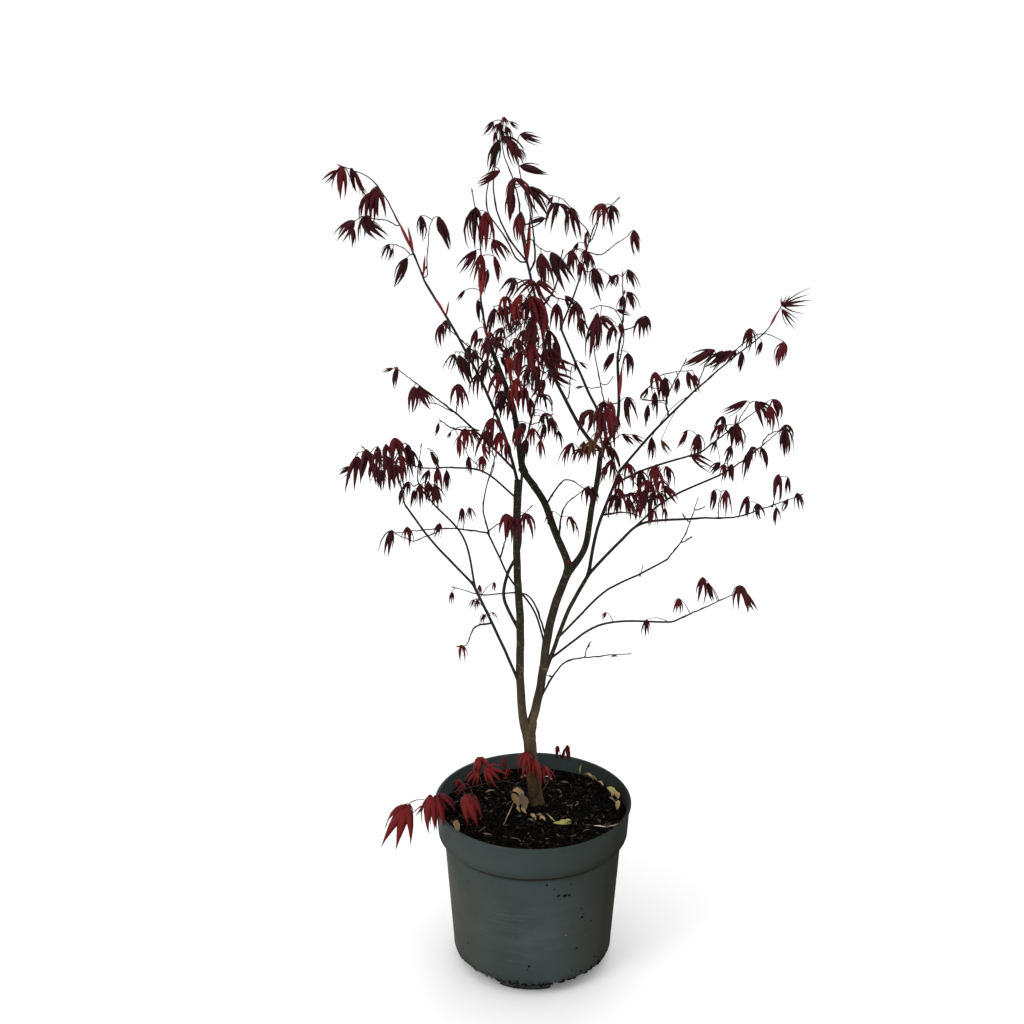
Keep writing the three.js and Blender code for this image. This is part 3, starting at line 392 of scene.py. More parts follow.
    "low_right_foliage": ((186, -84, 589, 28, -6, 8, "m"), (214, -96, 623, 40, -2, 8, "m"),
        (221, -94, 614, 28, 18, 5, "d"), (261, -104, 615, 46, 2, 10, "m"), (147, -66, 552, 26, 0, 8, "d"),
        (268, -100, 604, 33, 24, 6, "d")),
    "low_right_front_bough": ((96, -30, 547, 14, -34, 7, "m"),),
    "low_left_sprig": ((-97, -60, 513, 27, -2, 11, "m"),),
    "low_cross_twig": ((-111, 8, 561, 23, -2, 8, "d"),),
    "low_left_twig": ((-72, -52, 595, 17, -6, 6, "d"), (-53, -50, 598, 16, 10, 7, "m")),
    "middle_back_foliage": ((26, 170, 761, 37, 4, 9, "m"), (17, 176, 750, 34, -4, 8, "m"),
        (10, 150, 734, 34, 4, 7, "w"), (36, 166, 744, 31, 10, 5, "d")),
}

# The bright shoots at the trunk's foot: name: (colour, way from the trunk, leaves as (neck, way that the
# blade looks, lean to the right in degrees, lobe length, opening in radians, flare in radians, breadth)).
POT_SHOOTS = {
    "pot_left_shoot": ("red", ((0, 12, 242), (-34, -8, 280), (-86, -44, 292), (-146, -70, 286)), (
        ((-73, -8, 319), (-0.2, -1, 0), -8, 42, 1.35, 0.05, 2.3),
        ((-66, -18, 309), (0.4, -1, 0), 30, 40, 1.0, 0.3, 1.5),
        ((-78, -24, 306), (-0.7, -1, 0), -16, 34, 1.1, 0.1, 1.8),
        ((-94, -34, 292), (-0.7, -1, 0), -30, 24, 0.6, 0.0, 1.2),
        ((-94, -60, 290), (0.3, -1, 0), 18, 56, 0.9, 0.05, 2.2),
        ((-84, -54, 286), (0.6, -0.8, 0), 10, 46, 0.7, 0.05, 1.9),
        ((-130, -62, 292), (0.5, -0.8, 0), 24, 40, 0.9, 0.1, 1.5),
        ((-141, -72, 296), (-0.2, -1, 0), 0, 64, 0.62, 0.06, 1.6),
        ((-134, -66, 292), (0.5, -1, 0), 6, 58, 0.5, 0.1, 1.4),
        ((-150, -72, 280), (-0.9, -0.4, 0), -34, 24, 0.5, 0.1, 1.0),
        ((-174, -72, 281), (-0.6, -0.8, 0), -18, 68, 0.8, 0.2, 1.6),
        ((-171, -64, 277), (0.8, -0.5, 0), 8, 20, 0.9, 0.1, 1.1),
        ((-106, -20, 290), (0.2, 0.9, 0), 4, 26, 0.9, 0.1, 1.4))),
    "pot_front_shoot": ("red", ((4, 12, 244), (8, 2, 266), (0, -4, 300)), (
        ((-10, -4, 325), (-0.5, -1, 0), -6, 50, 1.0, 0.05, 1.6),
        ((1, -8, 317), (0.5, -1, 0), 8, 46, 0.85, 0.06, 1.5),
        ((14, -4, 304), (0.9, -0.4, 0), 12, 34, 0.8, 0.1, 1.4),
        ((-42, 12, 309), (-0.3, -1, 0), 12, 25, 0.35, 0.0, 1.3),
        ((-34, 6, 296), (-0.9, -0.2, 0), 0, 22, 0.6, 0.1, 1.3))),
    "pot_back_shoot": ("wine", ((14, 26, 246), (26, 56, 252), (42, 78, 272)), (
        ((37, 78, 292), (-0.3, -1, 0), -2, 24, 0.15, -0.08, 1.8),
        ((51, 80, 292), (0.3, -1, 0), 3, 28, 0.35, -0.05, 2.0),
        ((47, 74, 289), (-0.8, -0.4, 0), -14, 22, 0.2, 0.0, 1.5))),
}

# Long red bud scales, still folded: (what bears them, a point near their foot in mm, the way they point,
# their length in mm).
SPEARS = (
    ("far_left_bough", (-116, 80, 925), (-0.55, 0, 1), 30),
    ("far_left_bough", (-116, 80, 925), (0.2, 0.3, 1), 20),
    ("far_left_foliage", (-166, 106, 1004), (-0.45, 0, 1), 44),
    ("far_left_foliage", (-164, 107, 1002), (-0.2, 0.1, 1), 36),
    ("far_left_foliage", (-148, 98, 972), (0.1, -0.1, 1), 30),
    ("far_left_foliage", (-150, 98, 976), (0.6, 0.2, 1), 14),
    ("top_leader", (-11, -45, 1017), (-0.15, 0, 1), 52),
    ("top_leader", (-11, -45, 1017), (0.06, 0.1, 1), 54),
    ("top_left_foliage", (-70, 46, 957), (-0.05, 0, 1), 44),
    ("top_left_foliage", (-70, 46, 957), (0.12, 0, 1), 48),
    ("top_left_foliage", (-70, 46, 957), (0.25, 0.1, 1), 34),
    ("left_leader", (-61, 34, 903), (0.2, 0, 1), 30),
    ("left_leader", (-61, 34, 903), (-0.3, 0.2, 1), 24),
    ("right_leader", (80, -12, 712), (0.3, 0, 1), 22),
    ("inner_bough", (13, -58, 895), (-0.2, -0.3, 1), 26),
    ("right_inner_bough", (107, 5, 830), (0.05, -0.1, 1), 46),
    ("right_stem", (54, 14, 600), (-0.3, -0.5, 1), 14),
    ("right_stem", (46, 10, 600), (0.2, -0.6, 1), 12),
    ("upper_right_foliage", (318, 114, 904), (0.5, 0.1, 1), 26),
    ("upper_mid_right_foliage", (262, 20, 790), (0.1, -0.2, 1), 20),
    ("top_right_foliage", (72, 138, 1000), (-0.1, 0, 1), 26),
)


class PotSettings(bpy.types.PropertyGroup):
    """Sizes and colour of the nursery pot."""

    segments: IntProperty(name="Segments", description="Steps round the pot", default=360, min=24)
    wall: FloatProperty(name="Wall", description="Thickness of the plastic", default=2.2 * MM,
                        unit="LENGTH")
    collar: FloatProperty(name="Collar", description="Height of the collar", default=48 * MM, unit="LENGTH")
    colour: FloatVectorProperty(
        name="Colour", description="Plastic", default=(0.026, 0.0345, 0.0335), subtype="COLOR", size=3)


class WoodSettings(bpy.types.PropertyGroup):
    """How the bark is modelled."""

    flare: FloatProperty(name="Root flare", description="Extra radius at the compost", default=1.6 * MM,
                         unit="LENGTH")
    node_gap: FloatProperty(name="Node gap", description="Distance between leaf scars", default=52 * MM,
                            unit="LENGTH")
    colour: FloatVectorProperty(
        name="Bark", description="Older bark", default=(0.058, 0.049, 0.031), subtype="COLOR", size=3)
    young: FloatVectorProperty(
        name="Young bark", description="Bark of thin boughs", default=(0.013, 0.012, 0.0095),
        subtype="COLOR", size=3)


class LeafSettings(bpy.types.PropertyGroup):
    """Size and shape of the leaves."""

    length: FloatProperty(name="Lobe", description="Length of the middle lobe", default=40 * MM,
                          unit="LENGTH")
    stalk: FloatProperty(name="Stalk", description="Length of the leaf stalk", default=17 * MM,
                         unit="LENGTH")
    dark: FloatVectorProperty(
        name="Dark", description="Darkest leaves", default=(0.021, 0.0022, 0.0038), subtype="COLOR", size=3)
    maroon: FloatVectorProperty(
        name="Maroon", description="Most leaves", default=(0.043, 0.0038, 0.0064), subtype="COLOR", size=3)
    wine: FloatVectorProperty(
        name="Wine", description="Lit leaves", default=(0.075, 0.0055, 0.0078), subtype="COLOR", size=3)
    red: FloatVectorProperty(
        name="Red", description="Youngest leaves", default=(0.120, 0.0090, 0.0085), subtype="COLOR", size=3)
    olive: FloatVectorProperty(
        name="Olive", description="Leaves with green in them", default=(0.075, 0.030, 0.010),
        subtype="COLOR", size=3)


class CompostSettings(bpy.types.PropertyGroup):
    """The compost and what lies on it."""

    chips: IntProperty(name="Chips", description="Number of bark chips", default=3000, min=0)
    seed: IntProperty(name="Seed", description="Deal of the chips", default=5)


# ------------------------------------------------------------------ surfaces from arrays


NO_TRIANGLES = np.zeros((0, 3), int)


def round_turns(sides):
    """Angles in radians at equal steps round a full turn, from 0."""
    return np.linspace(0, 2 * math.pi, sides, endpoint=False)


def unit(vectors):
    """Vectors divided by their lengths."""
    return vectors / np.maximum(np.linalg.norm(vectors, axis=-1, keepdims=True), 1e-12)


def spline(points, count, fine=60):
    """A centripetal Catmull-Rom curve through the points, at equal steps of its length.

    fine is the number of places at which each of its spans is worked out and measured.
    """
    points = np.asarray(points, float)
    if len(points) == 2:
        share = np.linspace(0, 1, count)[:, None]
        return points[0] * (1 - share) + points[1] * share
    ends = np.vstack([2 * points[0] - points[1], points, 2 * points[-1] - points[-2]])
    pieces = []
    for a, b, c, d in zip(ends[:-3], ends[1:-2], ends[2:-1], ends[3:]):
        ta, tb, tc = (np.linalg.norm(q - p) ** 0.5 for p, q in ((a, b), (b, c), (c, d)))
        leave = ((b - a) / ta - (c - a) / (ta + tb) + (c - b) / tb) * tb
        arrive = ((c - b) / tb - (d - b) / (tb + tc) + (d - c) / tc) * tb
        t = np.linspace(0, 1, fine)[:-1, None]
        pieces.append(b + leave * t + (3 * (c - b) - 2 * leave - arrive) * t**2
                      + (2 * (b - c) + leave + arrive) * t**3)
    line = np.vstack([*pieces, points[-1:]])
    along = np.concatenate([[0], np.cumsum(np.linalg.norm(np.diff(line, axis=0), axis=1))])
    at = np.linspace(0, along[-1], count)
    return np.stack([np.interp(at, along, line[:, k]) for k in range(3)], axis=1)


def frames(lines):
    """Tangents and two cross directions along lines of shape (tubes, rings, 3).

    The cross direction is the world axis that the line follows least, made square to the tangent.
    """
    tangents = unit(np.gradient(lines, axis=1))
    least = np.argmin(np.abs(tangents).mean(axis=1), axis=1)
    reference = np.eye(3)[least][:, None, :]
    across = unit(reference - (tangents * reference).sum(-1, keepdims=True) * tangents)
    return tangents, across, np.cross(tangents, across)


def ring_quads(rings, sides):
    """Quads of a surface of rings, each joined to the next: point j of ring i is number i * sides + j."""
    i, j = np.meshgrid(np.arange(rings - 1), np.arange(sides), indexing="ij")
    k = (j + 1) % sides
    quads = np.stack([i * sides + j, i * sides + k, (i + 1) * sides + k, (i + 1) * sides + j], -1)
    return quads.reshape(-1, 4)


def pole_fans(rings, sides):
    """Triangles that close the first and last rings at two poles, numbered straight after the rings."""
    j = np.arange(sides)
    k = (j + 1) % sides
    low, high = np.full(sides, rings * sides), np.full(sides, rings * sides + 1)
    last = (rings - 1) * sides
    return np.concatenate([np.stack([low, k, j], -1), np.stack([high, last + j, last + k], -1)])


def repeated(faces, count, size):
    """The faces of one part for a number of like parts, each of which has the given number of points."""
    return (faces[None] + (np.arange(count) * size)[:, None, None]).reshape(-1, faces.shape[1])


def tubes(lines, radii, sides):
    """Closed round tubes: a circle of the given radius carried along each line, with a pole at each end.

    lines is (tubes, rings, 3) and radii (tubes, rings) or (tubes, rings, sides).
    Returns vertices, quads and triangles.
    """
    count, rings = lines.shape[:2]
    if radii.ndim == 2:
        radii = radii[:, :, None]
    tangents, across, beside = frames(lines)
    turn = round_turns(sides)
    ring = (across[:, :, None] * np.cos(turn)[None, None, :, None]
            + beside[:, :, None] * np.sin(turn)[None, None, :, None])
    body = lines[:, :, None] + ring * radii[..., None]
    tip = 0.35 * radii.mean(axis=2)
    poles = np.stack([lines[:, 0] - tangents[:, 0] * tip[:, :1],
                      lines[:, -1] + tangents[:, -1] * tip[:, -1:]], axis=1)
    vertices = np.concatenate([body.reshape(count, -1, 3), poles], axis=1)
    size = vertices.shape[1]
    return (vertices.reshape(-1, 3), repeated(ring_quads(rings, sides), count, size),
            repeated(pole_fans(rings, sides), count, size))


def joined(parts):
    """Several (vertices, quads, triangles) as one, with each face's part number."""
    vertices, quads, triangles, quad_part, triangle_part = [], [], [], [], []
    shift = 0
    for number, (v, q, t) in enumerate(parts):
        vertices.append(v)
        quads.append(q + shift)
        triangles.append(t + shift)
        quad_part.append(np.full(len(q), number))
        triangle_part.append(np.full(len(t), number))
        shift += len(v)
    faces = np.concatenate(quad_part + triangle_part)
    return np.concatenate(vertices), np.concatenate(quads), np.concatenate(triangles), faces


def mesh_piece(name, vertices, quads, triangles, materials, material_index=None, attributes=None,
               smooth=True):
    """A mesh object at the origin from whole arrays of vertices, quads and triangles."""
    mesh = bpy.data.meshes.new(name)
    corners = np.concatenate([quads.ravel(), triangles.ravel()]).astype(np.int32)
    sizes = np.concatenate([np.full(len(quads), 4), np.full(len(triangles), 3)]).astype(np.int32)
    mesh.vertices.add(len(vertices))
    mesh.vertices.foreach_set("co", np.ascontiguousarray(vertices, dtype=np.float32).ravel())
    mesh.loops.add(len(corners))
    mesh.loops.foreach_set("vertex_index", corners)
    mesh.polygons.add(len(sizes))
    mesh.polygons.foreach_set("loop_start", np.concatenate([[0], np.cumsum(sizes)[:-1]]).astype(np.int32))
    mesh.polygons.foreach_set("use_smooth", np.full(len(sizes), smooth))
    for material in materials:
        mesh.materials.append(material)
    if material_index is not None:
        mesh.polygons.foreach_set("material_index", np.asarray(material_index, dtype=np.int32))
    for key, values in (attributes or {}).items():
        layer = mesh.attributes.new(key, "FLOAT", "POINT")
        layer.data.foreach_set("value", np.asarray(values, dtype=np.float32))
    mesh.update(calc_edges=True)
    mesh.validate()
    piece = bpy.data.objects.new(name, mesh)
    bpy.context.scene.collection.objects.link(piece)
    return piece


def place(piece, slot, *nodes):
    """The piece rides on the one body and stands for CAD nodes, which are hidden. The slot is not used."""
    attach(piece, "root")
    if nodes:
        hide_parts(*nodes)


# ------------------------------------------------------------------ materials


def shader(name, colour, roughness, gloss=0.5):
    """A new node material and its Principled shader, with an even colour, roughness and gloss."""
    material = bpy.data.materials.new(name)
    material.use_nodes = True
    principled = material.node_tree.nodes["Principled BSDF"]
    principled.inputs["Base Color"].default_value = (*colour, 1)
    principled.inputs["Roughness"].default_value = roughness
    principled.inputs["Specular IOR Level"].default_value = gloss
    material.diffuse_color = (*colour, 1)
    return material, principled


def noise(tree, scale, detail=4.0, stretch=(1, 1, 1), rough=0.55):
    """A noise pattern on Object coordinates, stretched along the axes."""
    coordinates = tree.nodes.new("ShaderNodeTexCoord")
    mapping = tree.nodes.new("ShaderNodeMapping")
    mapping.inputs["Scale"].default_value = stretch
    pattern = tree.nodes.new("ShaderNodeTexNoise")
    pattern.inputs["Scale"].default_value = scale
    pattern.inputs["Detail"].default_value = detail
    pattern.inputs["Roughness"].default_value = rough
    tree.links.new(coordinates.outputs["Object"], mapping.inputs["Vector"])
    tree.links.new(mapping.outputs["Vector"], pattern.inputs["Vector"])
    return pattern.outputs["Fac"]


def point_value(tree, name):
    """The node that reads a point attribute of the mesh."""
    node = tree.nodes.new("ShaderNodeAttribute")
    node.attribute_name = name
    return node


def ramp(tree, value, stops):
    """A colour ramp read at a value, with stops of (place, colour)."""
    node = tree.nodes.new("ShaderNodeValToRGB")
    elements = node.color_ramp.elements
    while len(elements) < len(stops):
        elements.new(0.5)
    for element, (place_at, colour) in zip(elements, stops):
        element.position = place_at
        element.color = (*colour, 1)
    tree.links.new(value, node.inputs["Fac"])
    return node.outputs["Color"]


def mixed(tree, factor, first, second, mode="MIX"):
    """Two colours mixed by a factor; each may be a socket or a plain colour."""
    node = tree.nodes.new("ShaderNodeMix")
    node.data_type = "RGBA"
    node.blend_type = mode
    for value, socket in ((factor, node.inputs[0]), (first, node.inputs[6]), (second, node.inputs[7])):
        if isinstance(value, bpy.types.NodeSocket):
            tree.links.new(value, socket)
        elif isinstance(value, (int, float)):
            socket.default_value = value
        else:
            socket.default_value = (*value, 1)
    return node.outputs[2]


def bumped(tree, principled, height, strength, distance):
    """A bump on the shader from a height socket."""
    bump = tree.nodes.new("ShaderNodeBump")
    bump.inputs["Strength"].default_value = strength
    bump.inputs["Distance"].default_value = distance
    tree.links.new(height, bump.inputs["Height"])
    tree.links.new(bump.outputs["Normal"], principled.inputs["Normal"])


def grey(value):
    """A neutral colour."""
    return (value, value, value)


def scaled(colour, factor):
    """A colour made lighter or darker."""
    return tuple(min(1.0, c * factor) for c in colour)


def warmed(colour, warmth):
    """A colour turned towards brown by a share from 0 to 1."""
    red, green, blue = colour
    return red, green * (1 - 0.28 * warmth), blue * (1 - 0.45 * warmth)


# Colours mixed into the pot: a pale dusting that also paints the light on the pot's lit left side, real
# soil, and the dark brown of the painted shade.
DUST_AND_LIGHT, SOIL, PAINTED_SHADE = (0.058, 0.052, 0.038), (0.008, 0.0065, 0.0045), (0.011, 0.008, 0.004)


def pot_plastic(settings):
    """Dark grey-green moulded plastic: cloudy, with a pale dusting at its sides, soft scuffs and soil at
    its foot.

    The point attributes dust_and_light, scuff and soil say how much of each lies there, and a noise breaks
    them up. The pale dusting is laid on thicker at the left, where it also paints the light on the pot's
    lit side.
    The attribute shadow is painted shade, mixed in as a dark brown: a painted shadow in the groove under
    the collar, a darker collar front and the side that stood away from the light. matt says where the gloss
    is taken off that shaded side, so that it reads darker.
    """
    material, principled = shader("pot plastic", settings.colour, 0.6)
    principled.inputs["IOR"].default_value = 1.12
    tree = material.node_tree
    colour = ramp(tree, noise(tree, 9, 5), (
        (0.3, scaled(settings.colour, 1.15)), (0.7, scaled(settings.colour, 1.62))))
    for name, pattern, low, high, over in (
            ("dust_and_light", noise(tree, 14, 6, (1, 1, 0.5)), 0.1, 0.7, DUST_AND_LIGHT),
            ("scuff", noise(tree, 30, 5, (0.5, 0.5, 2.2), 0.6), 0.40, 0.75, scaled(settings.colour, 2.5)),
            ("scuff", noise(tree, 34, 7, (0.5, 0.5, 9), 0.75), 0.54, 0.70, scaled(settings.colour, 3.8)),
            ("soil", noise(tree, 150, 7, (1, 1, 1), 0.7), 0.36, 0.58, SOIL)):
        patches = ramp(tree, pattern, ((low, grey(0)), (high, grey(1))))
        broken = mixed(tree, 1.0, point_value(tree, name).outputs["Color"], patches, "MULTIPLY")
        colour = mixed(tree, broken, colour, over)
    # Painted shade: the shadow attribute mixes the plastic towards a dark brown.
    colour = mixed(tree, point_value(tree, "shadow").outputs["Fac"], colour, PAINTED_SHADE)
    tree.links.new(colour, principled.inputs["Base Color"])
    # The gloss is taken off the side that is painted in shade.
    gloss = ramp(tree, point_value(tree, "matt").outputs["Fac"], ((0, grey(0.5)), (1, grey(0.02))))
    tree.links.new(gloss, principled.inputs["Specular IOR Level"])
    rough = ramp(tree, noise(tree, 24, 6), ((0.3, grey(0.55)), (0.75, grey(0.75))))
    tree.links.new(rough, principled.inputs["Roughness"])
    bumped(tree, principled, noise(tree, 420, 3), 0.12, 0.0004)
    return material


# The bark's colour by height: (height in metres, share of the colour, warmth from 0 to 1).
OLD_AGES = ((0.24, 1.05, 1), (0.31, 0.9, 0.8), (0.345, 1.2, 0.65), (0.375, 1.1, 0.5), (0.40, 0.58, 0.3),
            (0.58, 0.28, 0), (0.75, 0.17, 0))
YOUNG_AGES = ((0.3, 1.1, 0), (0.8, 0.6, 0))


def bark(name, colour, ages, pale, roughness, gloss):
    """Smooth maple bark: streaks along the wood, its own colour at each height, pale at the leaf scars.

    ages is a row of heights with their share of the colour, such as OLD_AGES.
    """
    material, principled = shader(name, colour, roughness, gloss)
    tree = material.node_tree
    place_at = tree.nodes.new("ShaderNodeTexCoord")
    height = tree.nodes.new("ShaderNodeSeparateXYZ")
    tree.links.new(place_at.outputs["Object"], height.inputs["Vector"])
    aged = ramp(tree, height.outputs["Z"],
                [(z, warmed(scaled(colour, share), warmth)) for z, share, warmth in ages])
    streaks = ramp(tree, noise(tree, 95, 8, (1, 1, 0.16), 0.7), (
        (0.3, grey(0.0)), (0.5, grey(0.45)), (0.72, grey(1))))
    streaks = mixed(tree, 1.0, aged, mixed(tree, 1.0, streaks, grey(0.55), "ADD"), "MULTIPLY")
    flecks = ramp(tree, noise(tree, 320, 3), ((0.6, grey(0)), (0.72, grey(0.7))))
    flecked = mixed(tree, flecks, streaks, scaled(pale, 0.8))
    scarred = mixed(tree, point_value(tree, "scar").outputs["Fac"], flecked, pale)
    tree.links.new(scarred, principled.inputs["Base Color"])
    bumped(tree, principled, noise(tree, 240, 6, (1, 1, 0.35)), 0.5, 0.0008)
    return material


def plain(name, colour, roughness, gloss=0.2):
    """An even finish for small things that are dealt out by colour."""
    return shader(name, colour, roughness, gloss)[0]


# ------------------------------------------------------------------ the pot


def pot_profile(settings):
    """The pot's section as (radius, height) from the middle of its underside round to its inner floor."""
    neck = POT_HEIGHT - settings.collar
    wall = settings.wall
    neck_radius, collar_radius, rim = NECK_RADIUS, COLLAR_RADIUS, RIM_RADIUS

    def arc(centre, radius, start, end, steps=6):
        """Points on an arc, with the angles in degrees."""
        turn = np.radians(np.linspace(start, end, steps))
        return np.stack([centre[0] + radius * np.cos(turn), centre[1] + radius * np.sin(turn)], 1)

    def line(start, end, steps):
        """Points from start to end, without the last."""
        share = np.linspace(0, 1, steps, endpoint=False)[:, None]
        return np.array(start) * (1 - share) + np.array(end) * share

    r = 1.6 * MM
    lip = 2.1 * MM
    return np.concatenate([
        line((0, 0), (FOOT_INSIDE, 0), 6)[1:],
        line((FOOT_INSIDE, 0), (FOOT_RADIUS - r, 0), 6),
        arc((FOOT_RADIUS - r, r), r, -90, -20, 4),
        line((FOOT_RADIUS + 1 * MM, 2 * MM), (FOOT_RADIUS + 11 * MM, FOOT_HEIGHT - 3 * MM), 6),
        arc((WALL_FOOT - 2.5 * MM, FOOT_HEIGHT + 2.5 * MM), 2.5 * MM, -110, -4, 6),
        line((WALL_FOOT, FOOT_HEIGHT + 4 * MM), (neck_radius - 0.7 * MM, neck - 15 * MM), 30),
        line((neck_radius - 0.7 * MM, neck - 15 * MM), (neck_radius, neck - 2.6 * MM), 12),
        arc((neck_radius + 2.5 * MM, neck - 2.5 * MM), 2.5 * MM, 180, 90, 5),
        arc((collar_radius - r, neck + r), r, -90, -3, 5),
        line((collar_radius + 0.1 * MM, neck + 3 * MM), (rim - 2.2 * MM, POT_HEIGHT - 7 * MM), 10),
        arc((rim - lip, POT_HEIGHT - 2.6 * MM), lip, -60, 90, 10),
        arc((rim - lip - 1.2 * MM, POT_HEIGHT - 1.6 * MM), 1.1 * MM, 90, 175, 5),
        line((rim - 2 * wall, POT_HEIGHT - 4 * MM), (collar_radius - wall, neck + 4 * MM), 8),
        line((collar_radius - wall, neck + 3 * MM), (neck_radius - wall, neck - 3 * MM), 3),
        line((neck_radius - wall, neck - 4 * MM), (WALL_FOOT - wall, FOOT_HEIGHT + 5 * MM), 6),
        [(WALL_FOOT - 5 * MM, FOOT_HEIGHT + 3.2 * MM), (40 * MM, FOOT_HEIGHT + 3 * MM)],
    ])


def turned_pot(settings):
    """The profile turned round Z: the point at (s, turn) is (r cos, r sin, z), raised in the drain gaps."""
    profile = pot_profile(settings)
    turn = round_turns(settings.segments)
    radius, height = profile[:, 0][:, None], profile[:, 1][:, None]
    front = np.degrees(np.arctan2(np.cos(turn), -np.sin(turn)))
    open_here = np.zeros_like(front)
    for middle, half in DRAIN_GAPS:
        away = np.abs((front - middle + 180) % 360 - 180)
        open_here = np.maximum(open_here, 1 / (1 + np.exp((away - half) * 1.6)))
    under = (radius > FOOT_INSIDE + 1 * MM) & (height < FOOT_HEIGHT)
    lifted = np.where(under, height + open_here[None] * (FOOT_HEIGHT - height), height)
    grid = np.stack([radius * np.cos(turn) + 0 * lifted, radius * np.sin(turn) + 0 * lifted, lifted], -1)
    rings, sides = grid.shape[:2]
    vertices = np.concatenate([grid.reshape(-1, 3), [[0, 0, 0], [0, 0, FOOT_HEIGHT + 3 * MM]]])
    return vertices, ring_quads(rings, sides), pole_fans(rings, sides)


def bell(value, middle, width):
    """1 at the middle, falling off to both sides as a normal curve does."""
    return np.exp(-(((value - middle) / width) ** 2))


def pot_marks(vertices):
    """How much of each mark lies at each point, as bells in the turn (0 at the front) and the height."""
    x, y, z = vertices.T
    turn = np.arctan2(x, -y)
    outside = np.hypot(x, y) > 90 * MM
    below = POT_HEIGHT - 60 * MM - z
    dust_and_light = outside * np.clip(np.abs(turn) / 1.1 - 0.15, 0, 1)
    dust_and_light = dust_and_light * (0.55 + 0.45 * np.clip(below / (60 * MM), -1, 1))
    scuff = outside * bell(turn, -0.15, 0.55) * bell(z, 105 * MM, 52 * MM)
    soil = np.where(z < FOOT_HEIGHT + 1 * MM, 0.9, 0.75 * bell(z, FOOT_HEIGHT, 7 * MM))
    # Painted shadow: a dark band just below the collar's overhang and a fainter one on the collar's lower
    # edge.
    groove = bell(z, 197 * MM, 3.4 * MM) + 0.25 * bell(z, 205 * MM, 5 * MM)
    # Painted shade on the right side, which stood away from the light, fading out towards the back.
    right = outside * np.clip((turn - 0.2) / 0.8, 0, 1) * np.clip((2.7 - turn) / 0.9, 0, 1)
    # The collar's front is made a little darker with the same painted shade.
    collar = 0.2 * (z > 200 * MM) * bell(turn, 0.2, 0.6)
    # The dusting is laid on thicker at the left, as painted light on the lit side.
    return {"dust_and_light": dust_and_light * (0.7 - 0.3 * np.sin(turn)), "scuff": scuff * 0.5, "soil": np.clip(soil, 0, 1),
            "shadow": np.clip(outside * (groove * 0.95 + collar) + right * 0.6, 0, 0.97), "matt": right}


# ------------------------------------------------------------------ the compost


def compost_height(x, y):
    """The compost's top over its level: slow swells and a fine crumb, as sums of sines."""
    swell = 2.2 * np.sin(31 * x + 1.1) * np.cos(27 * y - 0.4) + 1.3 * np.sin(72 * x - 60 * y)
    crumb = np.sin(410 * x + 3 * np.sin(190 * y)) * np.sin(380 * y + 2 * np.sin(230 * x))
    return (swell + 1.1 * crumb) * MM


BED_WALL = ((104, 24), (123, 196), (126, 206))  # the bed's side inside the pot: (radius, height) in mm


def compost_bed(rng):
    """A closed disc: polar rings with the crumb on top, a wall down inside the pot and a flat floor."""
    sides, rings = 160, 56
    edge = COMPOST_BOX[1][0] - 0.2 * MM
    turn = round_turns(sides)
    radius = edge * np.linspace(1, 0.01, rings) ** 0.9
    x, y = radius[:, None] * np.cos(turn), radius[:, None] * np.sin(turn)
    z = SOIL_TOP - 1.5 * MM + compost_height(x, y) + rng.normal(0, 0.5 * MM, x.shape)
    z[0] = SOIL_TOP - 2 * MM
    top = np.stack([x, y, z], -1)
    wall = np.array(BED_WALL) * MM
    wall = np.stack([wall[:, :1] * np.cos(turn), wall[:, :1] * np.sin(turn),
                     np.repeat(wall[:, 1:], sides, axis=1)], -1)
    grid = np.concatenate([wall, top])
    vertices = np.concatenate([grid.reshape(-1, 3), [[0, 0, BED_WALL[0][1] * MM], [0, 0, SOIL_TOP]]])
    return vertices, ring_quads(len(grid), sides), pole_fans(len(grid), sides)


BOX_CORNERS = np.array([(x, y, z) for z in (-1, 1) for x, y in ((-1, -1), (1, -1), (1, 1), (-1, 1))], float)
BOX_FACES = np.array([(0, 3, 2, 1), (4, 5, 6, 7), (0, 1, 5, 4), (1, 2, 6, 5), (2, 3, 7, 6), (3, 0, 4, 7)])


def rough_boxes(rng, count):
    """The eight corners of each of a number of boxes 2 across, each moved a little."""
    return BOX_CORNERS[None] * (1 + rng.uniform(-0.35, 0.35, (count, 8, 3)))


def box_part(shape):
    """Boxes of shape (count, 8, 3) as vertices, quads and no triangles."""
    return shape.reshape(-1, 3), repeated(BOX_FACES, len(shape), 8), NO_TRIANGLES


def swung(shape, first, second, angle):
    """Each part of the shape turned by its own angle from its first axis towards its second."""
    c, s = np.cos(angle)[:, None], np.sin(angle)[:, None]
    moved = shape.copy()
    moved[..., first] = shape[..., first] * c - shape[..., second] * s
    moved[..., second] = shape[..., first] * s + shape[..., second] * c
    return moved


